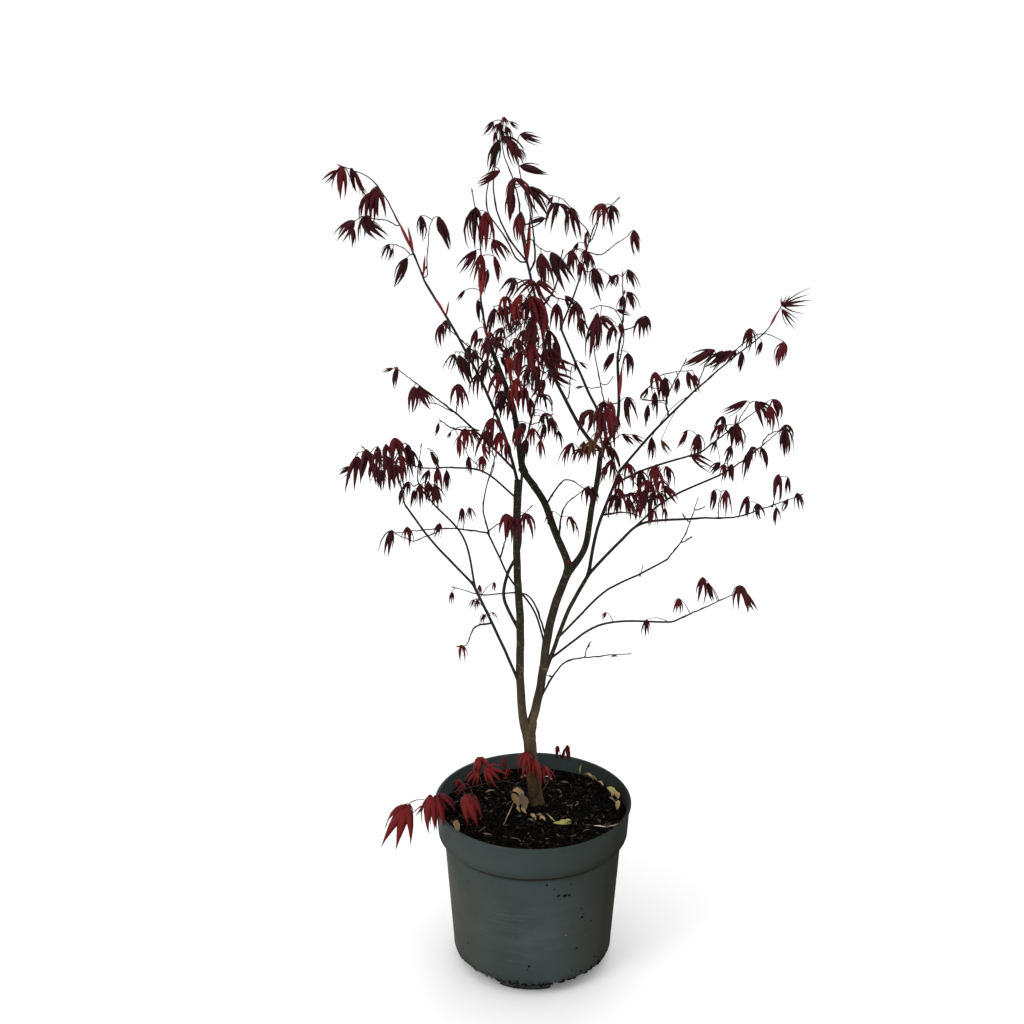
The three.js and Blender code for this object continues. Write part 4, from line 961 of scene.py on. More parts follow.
def chips(rng, count, share, slim):
    """Bark chips: boxes of eight moved corners, turned at random and laid on the compost's top.

    share is their size, and slim the least and the largest ratio of width to length.
    """
    edge = COMPOST_BOX[1][0] - 5 * MM
    radius = edge * np.sqrt(rng.random(count))
    turn = rng.random(count) * 2 * math.pi
    centre = np.stack([radius * np.cos(turn), radius * np.sin(turn)], -1)
    long = (rng.gamma(2.0, 1.5, count)[:, None] * MM + 1.4 * MM) * share
    size = np.concatenate([long, long * rng.uniform(*slim, (count, 1)),
                           long * rng.uniform(0.1, 0.3, (count, 1))], axis=1) * 0.5
    shape = rough_boxes(rng, count) * size[:, None]
    spin = rng.uniform(0, 2 * math.pi, count)
    lean, roll = rng.normal(0, 0.35, count), rng.normal(0, 0.4, count)
    shape = swung(swung(swung(shape, 2, 0, lean), 1, 2, roll), 0, 1, spin)
    level = SOIL_TOP - 1.2 * MM + compost_height(centre[:, 0], centre[:, 1]) + size[:, 2] * 0.7
    return box_part(shape + np.concatenate([centre, level[:, None]], axis=1)[:, None])


def beside_gaps(turn):
    """How many degrees a turn from the front lies outside the nearest drain gap."""
    return min(abs((turn - middle + 180) % 360 - 180) - half for middle, half in DRAIN_GAPS)


def wall_specks(rng, specks):
    """Flat crumbs on the pot's wall: boxes of eight moved corners, half sunk in the wall at their place."""
    turn, height, long = (np.array([speck[k] for speck in specks], float) for k in range(3))
    turn, height, long = np.radians(turn), height * MM, long * MM
    radius = np.interp(height, (2 * MM, 17 * MM, 19 * MM, 24 * MM, 199 * MM),
                       (FOOT_RADIUS + MM, 109 * MM, 112 * MM, WALL_FOOT, NECK_RADIUS))
    out = np.stack([np.sin(turn), -np.cos(turn), 0 * turn], -1)
    along = np.stack([np.cos(turn), np.sin(turn), 0 * turn], -1)
    tilt = rng.uniform(-0.7, 0.7, len(turn))[:, None]
    first = along * np.cos(tilt) + UP * np.sin(tilt)
    second = UP * np.cos(tilt) - along * np.sin(tilt)
    corner = rough_boxes(rng, len(turn))
    size = np.stack([long / 2, long * rng.uniform(0.2, 0.42, len(turn)), np.full(len(turn), 0.7 * MM)], -1)
    corner = corner * size[:, None]
    centre = out * radius[:, None] + UP * height[:, None]
    shape = (centre[:, None] + corner[..., :1] * first[:, None] + corner[..., 1:2] * second[:, None]
             + corner[..., 2:] * out[:, None])
    return box_part(shape)


def blade(line, width, curl, thickness=0.35 * MM):
    """A dead leaf or bark strip: a lens section carried along a line, its edges curled up.

    width is the half width at each point of the line, and curl how far the edges rise, as a share.
    """
    tangents = unit(np.gradient(line, axis=0))
    across = unit(np.cross(UP, tangents) + np.array([1e-4, 0, 0]))
    up = np.cross(tangents, across)
    width = width[:, None]
    left = line - across * width + up * width * curl
    right = line + across * width + up * width * curl
    grid = np.stack([left, line - up * thickness, right, line + up * thickness], axis=1)
    last = 4 * len(line) - 4
    ends = np.array([(0, 3, 2, 1), (last, last + 1, last + 2, last + 3)])
    return grid.reshape(-1, 3), np.concatenate([ring_quads(len(line), 4), ends]), NO_TRIANGLES


# ------------------------------------------------------------------ wood


def wandered(line, amount, gap, rng):
    """The line with slight kinks: straight sideways steps between knots a gap apart, none at its ends."""
    length = np.linalg.norm(np.diff(line, axis=0), axis=1).sum()
    knots = max(3, int(length / gap) + 1)
    steps = rng.normal(0, amount, (knots, 3))
    steps[0] = steps[-1] = 0
    at = np.linspace(0, knots - 1, len(line))
    return line + np.stack([np.interp(at, np.arange(knots), steps[:, k]) for k in range(3)], 1)


def limb_paths():
    """Each limb's path, radii and length by name. A limb starts inside its parent, so the wood runs on."""
    made = {}
    rng = np.random.default_rng(LIMB_SEED)
    for name, parent, share, way, root, tip in LIMBS:
        points = np.array(way, float) * MM
        if parent:
            mother = made[parent]["line"]
            start = at_share(mother, share)
            if share == 1:
                along = unit(mother[-1] - mother[-4])
                inside = mother[-1] - along * 2.2 * root * MM
                side = unit((points[0] - start) - (points[0] - start) @ along * along)
                apart = (0.9 if parent == "trunk" else 0.6) * root * MM
                points = np.vstack([inside, start + side * apart, points])
            else:
                points = np.vstack([start, points])
        length = np.linalg.norm(np.diff(spline(points, 80), axis=0), axis=1).sum()
        rings = max(12, int(length / (1.6 * MM)))
        line = wandered(spline(points, rings), (0.5 if name == "trunk" else 1.1) * MM, 46 * MM, rng)
        made[name] = {"line": line, "length": length, "root": root * MM, "tip": tip * MM}
    return made


def bark_radii(name, limb, sides, settings, rng):
    """Radius on (ring, turn) and how pale the bark is there.

    The taper is straight. On it ride the collar where a limb leaves its parent, the root flare's
    buttresses, the trunk's sideways broadening below its fork, a swelling and a narrow groove at each
    pair of leaf scars, and slow lumps.
    """
    rings = len(limb["line"])
    share = np.linspace(0, 1, rings)[:, None]
    along = share * limb["length"]
    turn = round_turns(sides)[None]
    radius = limb["root"] + (limb["tip"] - limb["root"]) * share
    phase = rng.uniform(0, 6.28, 5)
    gap = settings.node_gap * rng.uniform(0.7, 1.2)
    place_along = along + 0.16 * gap * np.sin(along / gap * 2.3 + phase[1])
    number = np.floor(place_along / gap + 0.5)
    off = place_along - number * gap + 0.4 * MM * np.sin(3 * turn + number)
    strong = rng.uniform(0.1, 1, int(number.max()) + 2)[number.astype(int)] * (number > 0)
    node = bell(off, 0, 3.2 * MM) * strong
    groove = bell(off, 2.4 * MM, 0.55 * MM) * strong
    scars = 0.5 + 0.5 * np.cos(2 * (turn - number * math.pi / 2 - phase[0]))
    relief = 1 + node * (0.02 + 0.13 * scars**2) - 0.03 * groove
    relief += 0.018 * np.sin(5 * turn + phase[1] + 2 * np.sin(along * 70))
    relief += 0.012 * np.sin(11 * turn + phase[2] - along * 160)
    relief += 0.03 * np.sin(along * 2 * math.pi / 0.037 + phase[3]) * np.sin(turn + phase[4])
    if name == "trunk":
        fade = np.maximum(0, 1 - share / 0.22) ** 2
        radius = radius + settings.flare * fade * (1 + 0.4 * np.cos(4 * turn + 0.7))
        relief = relief + 0.02 * np.sin(23 * turn + along * 40)
        fork = bell(along, limb["length"], 15 * MM) * np.sin(turn) ** 2
        radius = radius * (1 + 0.4 * fork)
    else:
        radius = radius * (1 + 0.28 * np.exp(-along / (2.6 * limb["root"])))
    pale = np.clip(0.6 * groove * (0.2 + scars) + 0.22 * node * scars**3, 0, 1) + 0 * turn
    return radius * relief, pale


def limb_mesh(name, limb, settings, rng):
    """One limb as a tube with bark relief, its pale values and its part arrays."""
    sides = int(np.clip(round(limb["root"] / MM * 5), 12, 44))
    radii, pale = bark_radii(name, limb, sides, settings, rng)
    part = tubes(limb["line"][None], radii[None], sides)
    return part, np.concatenate([pale.ravel(), [0, 0]])


# ------------------------------------------------------------------ foliage


def numbers(seed, modulus=2**31 - 1, multiplier=48271):
    """A repeatable stream of numbers from 0 to 1, each the last one's multiple by a modulus."""
    state = (seed * 7919 + 12345) % modulus
    while True:
        state = (state * multiplier) % modulus
        yield state / modulus


def levelled(direction):
    """A direction laid level, so that a leaf's stalk leaves sideways and its blade hangs."""
    level = direction * np.array([1, 1, 0.25])
    if level @ level < 1e-4:
        level = np.array([1.0, 0, 0])
    return unit(level)


def turned(vector, axis, angle):
    """A vector turned about a unit axis."""
    return (vector * math.cos(angle) + np.cross(axis, vector) * math.sin(angle)
            + axis * (axis @ vector) * (1 - math.cos(angle)))


def at_share(line, share):
    """The point of a line at a share of its length."""
    return line[int(round(share * (len(line) - 1)))]


def nearest(line, point):
    """The point of a line that lies nearest to a point."""
    return line[np.argmin(np.linalg.norm(line - point, axis=1))]


def leaning(lean):
    """The way that a leaf hangs when it leans to the right by some degrees."""
    lean = math.radians(lean)
    return np.array([math.sin(lean), 0.0, -math.cos(lean)])


def usual_flare(opening):
    """A leaf that opens wide keeps its lobes a little apart down to their tips."""
    return float(np.clip(opening - 1.2, 0, 0.15) * 0.6)


TONES = ("dark", "maroon", "wine", "red", "olive")  # the leaves' colours, from the darkest
USUAL_BREADTH = 1.15  # of a lobe, as a share of LOBE_HALF_WIDTH


class Sprays:
    """Collects twigs, leaves and bud scales while the masses grow."""

    def __init__(self, stalk, length):
        """Start with nothing grown, and with the usual lengths of a stalk and a middle lobe."""
        self.stalk = stalk
        self.length = length
        self.twigs = []  # (line, root radius, tip radius)
        # (root, neck, way it hangs, way it faces, length, opening, colour, flare, breadth)
        self.leaves = []
        self.buds = []  # (root, direction, length)

    def leaf(self, root, outward, size, tone, rand):
        """One hanging leaf on a stalk that rises outwards, with its own size, opening and stalk."""
        length = self.length * size * (0.8 + 0.4 * next(rand))
        opening = 0.5 + 0.8 * next(rand)
        stalk = self.stalk * size * (0.5 + 0.8 * next(rand))
        neck = root + (outward * 0.75 + UP * (0.65 * next(rand) - 0.05)) * stalk
        hang = unit(outward * (0.4 * next(rand) - 0.05) - UP)
        self.leaves.append((root, neck, hang, outward, length, opening, tone, usual_flare(opening),
                            USUAL_BREADTH))

    def hung(self, line, x, y, z, length, lean, opening, tone, broad=USUAL_BREADTH, facing=-1):
        """One leaf at a given neck, on a stalk from the nearest point of a line, leaning right or left.

        facing is -1 for a blade that looks to the front and 1 for one that looks to the back.
        """
        neck = np.array([x, y, z]) * MM
        root = nearest(line, neck)
        yaw = 0.9 * math.sin(x * 1.7 + z)
        outward = np.array([math.sin(yaw), facing * math.cos(yaw), 0.0])
        colour = next(name for name in TONES if name[0] == tone)
        opening /= 10
        flare = usual_flare(opening) if broad > 1 else 0.35
        self.leaves.append((root, neck, leaning(lean), outward, length * MM, opening, colour, flare, broad))

    def pair(self, root, along, across, size, tone, rand):
        """Two opposite leaves at a node, now and then with one missing, and their bud scales."""
        for side in (1, -1):
            if next(rand) < 0.9:
                outward = levelled(across * side + along * 0.35 * next(rand))
                self.leaf(root, outward, size, tone, rand)
        if next(rand) < 0.5:
            self.buds.append((root, unit(along + across * (next(rand) - 0.5)), (6 + 7 * next(rand)) * MM))

    def twig(self, root, outward, along, length, size, tone, rand):
        """A side twig: one arc out of its node that rises a little, with leaf pairs at its end."""
        tip = root + outward * length * 0.85 + along * length * 0.45 + UP * length * 0.1
        bend = (root + tip) / 2 - along * 0.1 * length
        line = spline([root, bend, tip], 12)
        self.twigs.append((line, 0.95 * MM, 0.6 * MM))
        way = unit(line[-1] - line[-3])
        sideways = unit(np.cross(way, UP))
        if size:
            self.pair(line[-1], way, sideways, size, tone, rand)
            if next(rand) < 0.55:
                self.pair(line[7], way, turned(sideways, way, 1.2), size * 0.85, tone, rand)
        else:
            for side in (1, -1):
                end = line[6] + (way + sideways * side * 0.8) * length * 0.28
                self.twigs.append((spline([line[6], end], 12), 0.7 * MM, 0.45 * MM))


def grow_mass(sprays, row, limbs):
    """A stem that goes on from its limb, with side twigs and leaf pairs at opposite nodes by turns."""
    _, limb_name, share, way, nodes, twig_length, leaf_size, seed, tone = row
    rand = numbers(seed)
    limb = limbs[limb_name]
    line = spline(np.vstack([at_share(limb["line"], share), np.array(way, float) * MM]), 48)
    if share == 1:
        line = np.vstack([limb["line"][-4], line])
    radius = limb["root"] + (limb["tip"] - limb["root"]) * share
    root_radius = float(np.clip(0.95 * radius, 1.1 * MM, 1.6 * MM))
    sprays.twigs.append((line, root_radius, 0.6 * MM))
    length = twig_length * MM
    for node in range(nodes):
        at = min(0.2 + 0.78 * (node + 0.5 * next(rand)) / max(1, nodes - 0.5), 0.98)
        index = int(at * (len(line) - 2))
        root = line[index]
        along = unit(line[index + 1] - line[index])
        across = unit(np.cross(UP, along))
        across = turned(across, along, (node % 2) * math.pi / 2 + (next(rand) - 0.5) * 0.9)
        for side in (1, -1):
            outward = across * side
            reach = length * (0.55 + 0.6 * next(rand)) * (1 - 0.35 * at)
            if twig_length and (node + (side > 0)) % 2 == 0:
                sprays.twig(root, outward, along, reach, leaf_size, tone, rand)
            elif leaf_size:
                sprays.leaf(root, levelled(outward), leaf_size, tone, rand)
    if leaf_size:
        end = unit(line[-1] - line[-3])
        beside = unit(np.cross(UP, end))
        if nodes:
            for turn in (0.5, -0.5):
                sprays.leaf(line[-1], levelled(end + beside * turn), leaf_size, tone, rand)
        sprays.buds.append((line[-1], end, 8 * MM))
    return line


LOBE_TURNS = np.radians([0, 40, -40, 82, -82, 135, -135])
LOBE_LENGTHS = np.array([1.0, 0.96, 0.96, 0.82, 0.82, 0.55, 0.55])
LOBE_STATIONS = np.array([0, 0.14, 0.31, 0.54, 0.8, 1.0])
LOBE_WIDTHS = np.array([0.55, 1.05, 0.98, 0.72, 0.32, 0.0])
LOBE_HALF_WIDTH = 0.062  # of the lobe's length


def leaf_frames(leaves, rng):
    """Root, neck, hanging axis, front, side, length, opening, flare and breadth of each leaf, as arrays."""
    root, neck, hang, outward = (np.array([leaf[k] for leaf in leaves]) for k in range(4))
    length, opening, flare, broad = (np.array([leaf[k] for leaf in leaves]) for k in (4, 5, 7, 8))
    count = len(leaves)
    hang = unit(hang + rng.normal(0, 0.07, (count, 3)))
    side = unit(np.cross(hang, unit(outward + rng.normal(0, 0.12, (count, 3)))))
    return root, neck, hang, np.cross(side, hang), side, length, opening, flare, broad


def leaf_meshes(neck, hang, front, side, length, opening, flare, broad, rng):
    """All leaves at once: for each lobe, a three-cornered section carried along a drooping midrib.

    A lobe leaves the neck at its own turn round the hanging axis. It starts opened by an angle that
    falls off exponentially along it, so it arches out and then hangs, and its tip curls in. The
    section has two edges and a midrib raised on the outer side, and it ends in a point.
    """
    count, lobes = len(neck), len(LOBE_TURNS)
    pointed = 1 + 0.9 * np.clip(broad - 1.3, 0, 1)[:, None, None]
    broad = broad[:, None, None] * rng.uniform(0.8, 1.25, (count, 1, 1))
    shape = (count, lobes, 1)
    turn = LOBE_TURNS[None, :, None] * rng.uniform(0.85, 1.1, (count, 1, 1)) + rng.normal(0, 0.15, shape)
    reach = length[:, None, None] * LOBE_LENGTHS[None, :, None] * rng.uniform(0.8, 1.1, shape)
    first = (0.2 + 1.15 * opening[:, None, None]) * rng.uniform(0.8, 1.2, shape)
    rest = rng.uniform(0.0, 0.25, shape) + flare[:, None, None]
    curl = rng.uniform(0.3, 1.1, shape) * rng.uniform(0.4, 1, (count, 1, 1)) * (1 - flare[:, None, None])
    station = LOBE_STATIONS[None, None, :]
    angle = first * np.exp(-station / 0.36) + rest - curl * station**2
    away = front[:, None, None] * np.cos(turn)[..., None] + side[:, None, None] * np.sin(turn)[..., None]
    way = hang[:, None, None] * np.cos(angle)[..., None] + away * np.sin(angle)[..., None]
    step = np.diff(LOBE_STATIONS, prepend=0)[None, None, :, None] * reach[..., None]
    middle = neck[:, None, None] + np.cumsum(way * step, axis=2)
    around = side[:, None, None] * np.cos(turn)[..., None] - front[:, None, None] * np.sin(turn)[..., None]
    around = np.broadcast_to(around, middle.shape)
    out = unit(np.cross(around, way))
    profile = LOBE_WIDTHS[None, None, :] ** pointed * LOBE_HALF_WIDTH
    width = (profile * reach * broad * rng.uniform(0.85, 1.15, shape))[..., None]
    fold = rng.uniform(0.3, 0.8, shape)[..., None]
    edge = middle - out * width * fold
    grid = np.stack([edge - around * width, edge + around * width, middle + out * 0.3 * MM], axis=3)
    grid = grid[:, :, :-1].reshape(count * lobes, -1, 3)
    tips = middle[:, :, -1].reshape(-1, 1, 3)
    vertices = np.concatenate([grid, tips], axis=1).reshape(-1, 3)
    rings = len(LOBE_STATIONS) - 1
    last = 3 * rings - 3
    ends = np.array([(0, 2, 1), (last, last + 1, last + 3), (last + 1, last + 2, last + 3),
                     (last + 2, last, last + 3)])
    parts, size = count * lobes, 3 * rings + 1
    return vertices, repeated(ring_quads(rings, 3), parts, size), repeated(ends, parts, size)


def stalk_tubes(root, neck):
    """Leaf stalks: thin three-sided tubes that arch from the node to the leaf's neck."""
    share = np.linspace(0, 1, 5)[None, :, None]
    lift = np.sin(math.pi * share) * 0.14 * np.linalg.norm(neck - root, axis=1)[:, None, None]
    lines = root[:, None] * (1 - share) + neck[:, None] * share + lift * UP
    radii = np.broadcast_to(np.linspace(0.62, 0.42, 5)[None] * MM, lines.shape[:2])
    return tubes(lines, radii, 4)


def bud_tubes(buds):
    """Bud scales: spindles 1.2 mm thick at their middle."""
    root = np.array([b[0] for b in buds])
    length = np.array([b[2] for b in buds])[:, None]
    way = np.array([b[1] for b in buds]) * length
    share = np.linspace(0, 1, 6)[None, :, None]
    lines = root[:, None] + way[:, None] * share
    radii = np.sin(math.pi * (0.1 + 0.86 * np.linspace(0, 1, 6)))[None] * (0.8 * MM + 0.035 * length)
    return tubes(lines, radii, 5)


TWIG_RINGS = 24


def twig_tubes(twigs, rng):
    """Twigs of every length as tubes with as many rings, swollen at every sixth, where their nodes are."""
    number = np.arange(TWIG_RINGS)
    lines = np.stack([spline(line, TWIG_RINGS) for line, _, _ in twigs])
    root = np.array([t[1] for t in twigs])[:, None]
    tip = np.array([t[2] for t in twigs])[:, None]
    share = np.linspace(0, 1, TWIG_RINGS)[None]
    node = (number % 6 == 5)[None] * 1.0
    radii = (root + (tip - root) * share) * (1 + 0.3 * node)
    lines = lines + rng.normal(0, 0.25 * MM, lines.shape) * (number > 0)[None, :, None]
    return tubes(lines, radii, 6)


# ------------------------------------------------------------------ operators


class MAPLE_OT_pot(bpy.types.Operator):
    """Build the nursery pot"""

    bl_idname = "maple.pot"
    bl_label = "Nursery Pot"

    def execute(self, context):
        """Turn the pot's profile round its axis."""
        settings = context.scene.maple_pot
        vertices, quads, triangles = turned_pot(settings)
        piece = mesh_piece("nursery_pot", vertices, quads, triangles, [pot_plastic(settings)],
                           attributes=pot_marks(vertices))
        place(piece, "pot", "pot")
        return {"FINISHED"}


class MAPLE_OT_compost(bpy.types.Operator):
    """Build the compost, its bark chips and the specks on the pot's wall"""

    bl_idname = "maple.compost"
    bl_label = "Compost"

    # Specks of compost that stick to the pot's wall: (turn from the front in degrees, height in mm,
    # length in mm, finish).
    SPECKS = (
        (8, 187, 2.6, 0), (13, 179, 2.2, 0), (16, 168, 4.2, 0), (20, 166, 6.0, 0), (23, 165, 4.0, 0),
        (24, 182, 2.0, 1), (33, 136, 2.2, 0), (34, 121, 3.4, 0), (35, 126, 1.8, 0), (31, 71, 3.6, 0),
        (-3, 52, 3.2, 0), (-4, 46, 1.8, 1), (5, 198, 2.4, 0), (8, 198, 3.2, 0), (11, 198.5, 2.6, 0),
        (27, 199, 4.4, 0),
        (22, 99, 3.0, 3), (38, 88, 2.0, 3), (-47, 168, 1.6, 1), (42, 108, 2.0, 1), (-52, 60, 2.0, 1),
        (120, 140, 3.0, 0), (133, 60, 3.5, 0), (170, 120, 2.5, 0), (-150, 90, 3.0, 0), (-118, 171, 2.8, 0),
        (-95, 45, 3.0, 0), (49, 40, 2.2, 0), (54, 34, 2.0, 0), (28, 36, 1.6, 0), (46, 27, 3.6, 0),
        (36, 28, 2.6, 0),
    )

    # Turns at which soil clings to the pot's foot, in degrees from the front.
    CLUMPS = (-62, -30, -12, 4, 12, 24, 44, 56, 78, 110, 150, 200, 250, 290)

    # Finishes of the chips: (name, colour, roughness, gloss).
    TONES = (
        ("chip black", (0.0020, 0.0017, 0.0015), 0.9, 0.05),
        ("chip dark", (0.005, 0.0038, 0.003), 0.9, 0.05),
        ("chip brown", (0.022, 0.013, 0.008), 0.85, 0.08),
        ("chip tan", (0.11, 0.075, 0.048), 0.8, 0.1),
        ("chip grey", (0.045, 0.033, 0.025), 0.8, 0.1),
    )

    def execute(self, context):
        """Lay the bed and the chips, and stick specks to the pot."""
        settings = context.scene.maple_compost
        rng = np.random.default_rng(settings.seed)
        material, principled = shader("compost crumb", (0.004, 0.003, 0.0025), 0.95, 0.0)
        tree = material.node_tree
        crumb = ramp(tree, noise(tree, 180, 6), (
            (0.35, (0.001, 0.0008, 0.0007)), (0.7, (0.007, 0.005, 0.0038))))
        tree.links.new(crumb, principled.inputs["Base Color"])
        bumped(tree, principled, noise(tree, 300, 8), 1.0, 0.002)
        bed = mesh_piece("compost_bed", *compost_bed(rng), [material])
        place(bed, "compost", "compost")

        tones = [plain(*tone) for tone in self.TONES]
        specks = list(self.SPECKS)
        for _ in range(240):
            specks.append((rng.choice(self.CLUMPS) + rng.normal(0, 5),
                           FOOT_HEIGHT / MM + rng.normal(-1, 2.6), rng.uniform(1.2, 3.6),
                           rng.choice((0, 1), p=(0.7, 0.3))))
        for _ in range(120):
            specks.append((rng.uniform(-70, 290), rng.uniform(3, 17), rng.uniform(1.2, 3.4),
                           rng.choice((0, 1, 2))))
        specks = [speck for speck in specks if speck[1] > 17 or beside_gaps(speck[0]) > 1]
        light = settings.chips // 3
        vertices, quads, triangles, _ = joined([
            chips(rng, settings.chips, 1.0, (0.15, 0.6)), chips(rng, light, 0.8, (0.08, 0.3)),
            wall_specks(rng, specks)])
        tone = np.concatenate([rng.choice(3, settings.chips, p=(0.68, 0.29, 0.03)),
                               rng.choice((2, 4, 3), light, p=(0.55, 0.3, 0.15)),
                               [speck[3] for speck in specks]])
        piece = mesh_piece("bark_chips", vertices, quads, triangles, tones,
                           np.repeat(tone, len(BOX_FACES)), smooth=False)
        place(piece, "compost")
        return {"FINISHED"}


class MAPLE_OT_debris(bpy.types.Operator):
    """Build the dead leaves and stalks on the compost"""

    bl_idname = "maple.debris"
    bl_label = "Dead Leaves"

    # The bits: (way in mm from the pot's axis and above the compost, half width in mm, curl, finish).
    BITS = (
        (((-31, 28, 15), (-26, 25, 20), (-19, 23, 18), (-13, 17, 13)), 6.6, 0.35, 0),
        (((-20, 23, 17), (-15, 14, 14), (-12, 5, 8), (-11, -3, 3)), 6.2, 0.5, 4),
        (((-29, 24, 16), (-25, 16, 11), (-20, 8, 4)), 5.6, 0.5, 0),
        (((-15, 5, 7), (-14, -3, 4), (-9, -9, 2)), 2.2, 0.6, 0),
        (((-22, 8, 6), (-21, 1, 3), (-18, -5, 2)), 2.0, 0.6, 0),
        (((-26, 18, 9), (-34, -12, 5), (-42, -41, 2)), 0.7, 0.1, 1),
        (((-6, -15, 3), (-1, -19, 5), (4, -26, 2)), 3.2, 0.5, 0),
        (((4, -14, 3), (9, -18, 5), (14, -25, 3)), 3.4, 0.5, 4),
        (((-8, -25, 2), (-4, -27, 3), (1, -31, 2)), 2.0, 0.5, 4),
        (((9, -26, 3), (13, -25, 5), (17, -29, 3)), 2.6, 0.5, 0),
        (((19, -16, 7), (26, -28, 6), (32, -38, 5)), 1.0, 0.1, 2),
        (((28, -40, 5), (36, -49, 8), (46, -48, 7), (53, -38, 5)), 6.5, 0.7, 2),
        (((42, -48, 8), (49, -42, 9), (54, -35, 6)), 3.2, 1.0, 2),
        (((108, 54, 8), (113, 43, 10), (118, 32, 7)), 5.0, 0.8, 2),
        (((114, 32, 7), (119, 34, 9), (123, 27, 5)), 4.4, 1.0, 0),
        (((118, 18, 5), (121, 11, 7), (120, 1, 3)), 3.6, 0.9, 0),
        (((110, 34, 4), (114, 24, 6), (119, 20, 4)), 2.4, 0.9, 4),
        (((84, -43, 3), (93, -46, 4), (102, -49, 4)), 1.3, 0.2, 3),
        (((103, -47, 4), (111, -43, 3), (119, -38, 3)), 0.7, 0.1, 3),
        (((71, 107, 3), (72, 108, 10), (73, 109, 17)), 1.6, 0.3, 2),
        (((77, 104, 3), (84, 97, 6), (91, 87, 3)), 2.8, 0.6, 0),
        (((85, 96, 3), (91, 89, 6), (96, 83, 3)), 2.4, 0.6, 4),
        (((96, 82, 3), (100, 76, 5), (104, 69, 3)), 2.4, 0.6, 0),
        (((-113, -38, 4), (-109, -47, 9), (-106, -57, 8), (-104, -66, 3)), 4.4, 1.0, 0),
        (((18, 99, 2), (24, 95, 4), (30, 89, 2)), 1.1, 0.3, 3),
        (((60, 12, 2), (66, 20, 3)), 0.8, 0.4, 4),
        (((-68, 52, 2), (-61, 56, 3), (-54, 57, 2)), 2.2, 0.3, 4),
        (((-18, 95, 2), (-10, 97, 4), (-2, 96, 2)), 2.2, 0.4, 4),
        (((-70, -62, 2), (-64, -66, 3), (-57, -66, 2)), 1.8, 0.4, 4),
        (((-104, 24, 8), (-96, 36, 5), (-88, 46, 4)), 0.9, 0.2, 4),
        (((42, 83, 2), (48, 80, 3), (54, 80, 2)), 1.4, 0.5, 4),
        (((32, 59, 2), (38, 57, 3), (43, 52, 2)), 0.8, 0.5, 4),
        (((68, -58, 2), (74, -54, 3), (80, -52, 2)), 0.7, 0.4, 4),
        (((-32, -73, 2), (-27, -76, 3), (-20, -77, 2)), 0.8, 0.3, 4),
    )

    # Finishes of the bits: (name, colour, roughness).
    TONES = (
        ("dead leaf tan", (0.30, 0.20, 0.10), 0.75),
        ("dead stalk", (0.30, 0.22, 0.12), 0.7),
        ("dead leaf yellow green", (0.27, 0.26, 0.085), 0.7),
        ("pale stick", (0.55, 0.5, 0.4), 0.7),
        ("dead leaf brown", (0.13, 0.088, 0.055), 0.75),
    )

    def execute(self, context):
        """Carry a curled lens section along each bit's way."""
        tones = [plain(*tone) for tone in self.TONES]
        parts = []
        for way, width, curl, _ in self.BITS:
            line = spline(np.array(way) * MM + np.array([0, 0, SOIL_TOP]), 14)
            share = np.linspace(0, 1, 14)
            shape = width * MM * np.clip(np.sin(math.pi * (0.06 + 0.9 * share)), 0.1, 1)
            shape *= 1 + 0.12 * np.cos(share * 11 + width) + 0.14 * np.cos(share * 31 + 3 * width)
            parts.append(blade(line, shape, curl))
        vertices, quads, triangles, number = joined(parts)
        tone = np.array([bit[3] for bit in self.BITS])[number]
        piece = mesh_piece("dead_leaves", vertices, quads, triangles, tones, tone, smooth=False)
        place(piece, "compost")
        return {"FINISHED"}


class MAPLE_OT_wood(bpy.types.Operator):
    """Build the trunk, stems and boughs with their bark"""

    bl_idname = "maple.wood"
    bl_label = "Trunk and Boughs"

    def execute(self, context):
        """Carry a ring with bark relief along each limb's path."""
        settings = context.scene.maple_wood
        rng = np.random.default_rng(BARK_SEED)
        limbs = limb_paths()
        old, young = ([], []), ([], [])
        for name, limb in limbs.items():
            part, pale = limb_mesh(name, limb, settings, rng)
            group = old if name in OLD_WOOD else young
            group[0].append(part)
            group[1].append(pale)
        old_bark = bark("old bark", settings.colour, OLD_AGES, (0.17, 0.14, 0.09), 0.85, 0.1)
        young_bark = bark("young bark", settings.young, YOUNG_AGES, (0.10, 0.085, 0.055), 0.7, 0.15)
        finishes = (
            ("old_wood", old, "bark", old_bark, OLD_WOOD),
            ("young_wood", young, "young_bark", young_bark, [n for n in limbs if n not in OLD_WOOD]),
        )
        for name, (parts, pale), slot, material, nodes in finishes:
            vertices, quads, triangles, _ = joined(parts)
            piece = mesh_piece(name, vertices, quads, triangles, [material],
                               attributes={"scar": np.concatenate(pale)})
            place(piece, slot, *nodes)
        return {"FINISHED"}


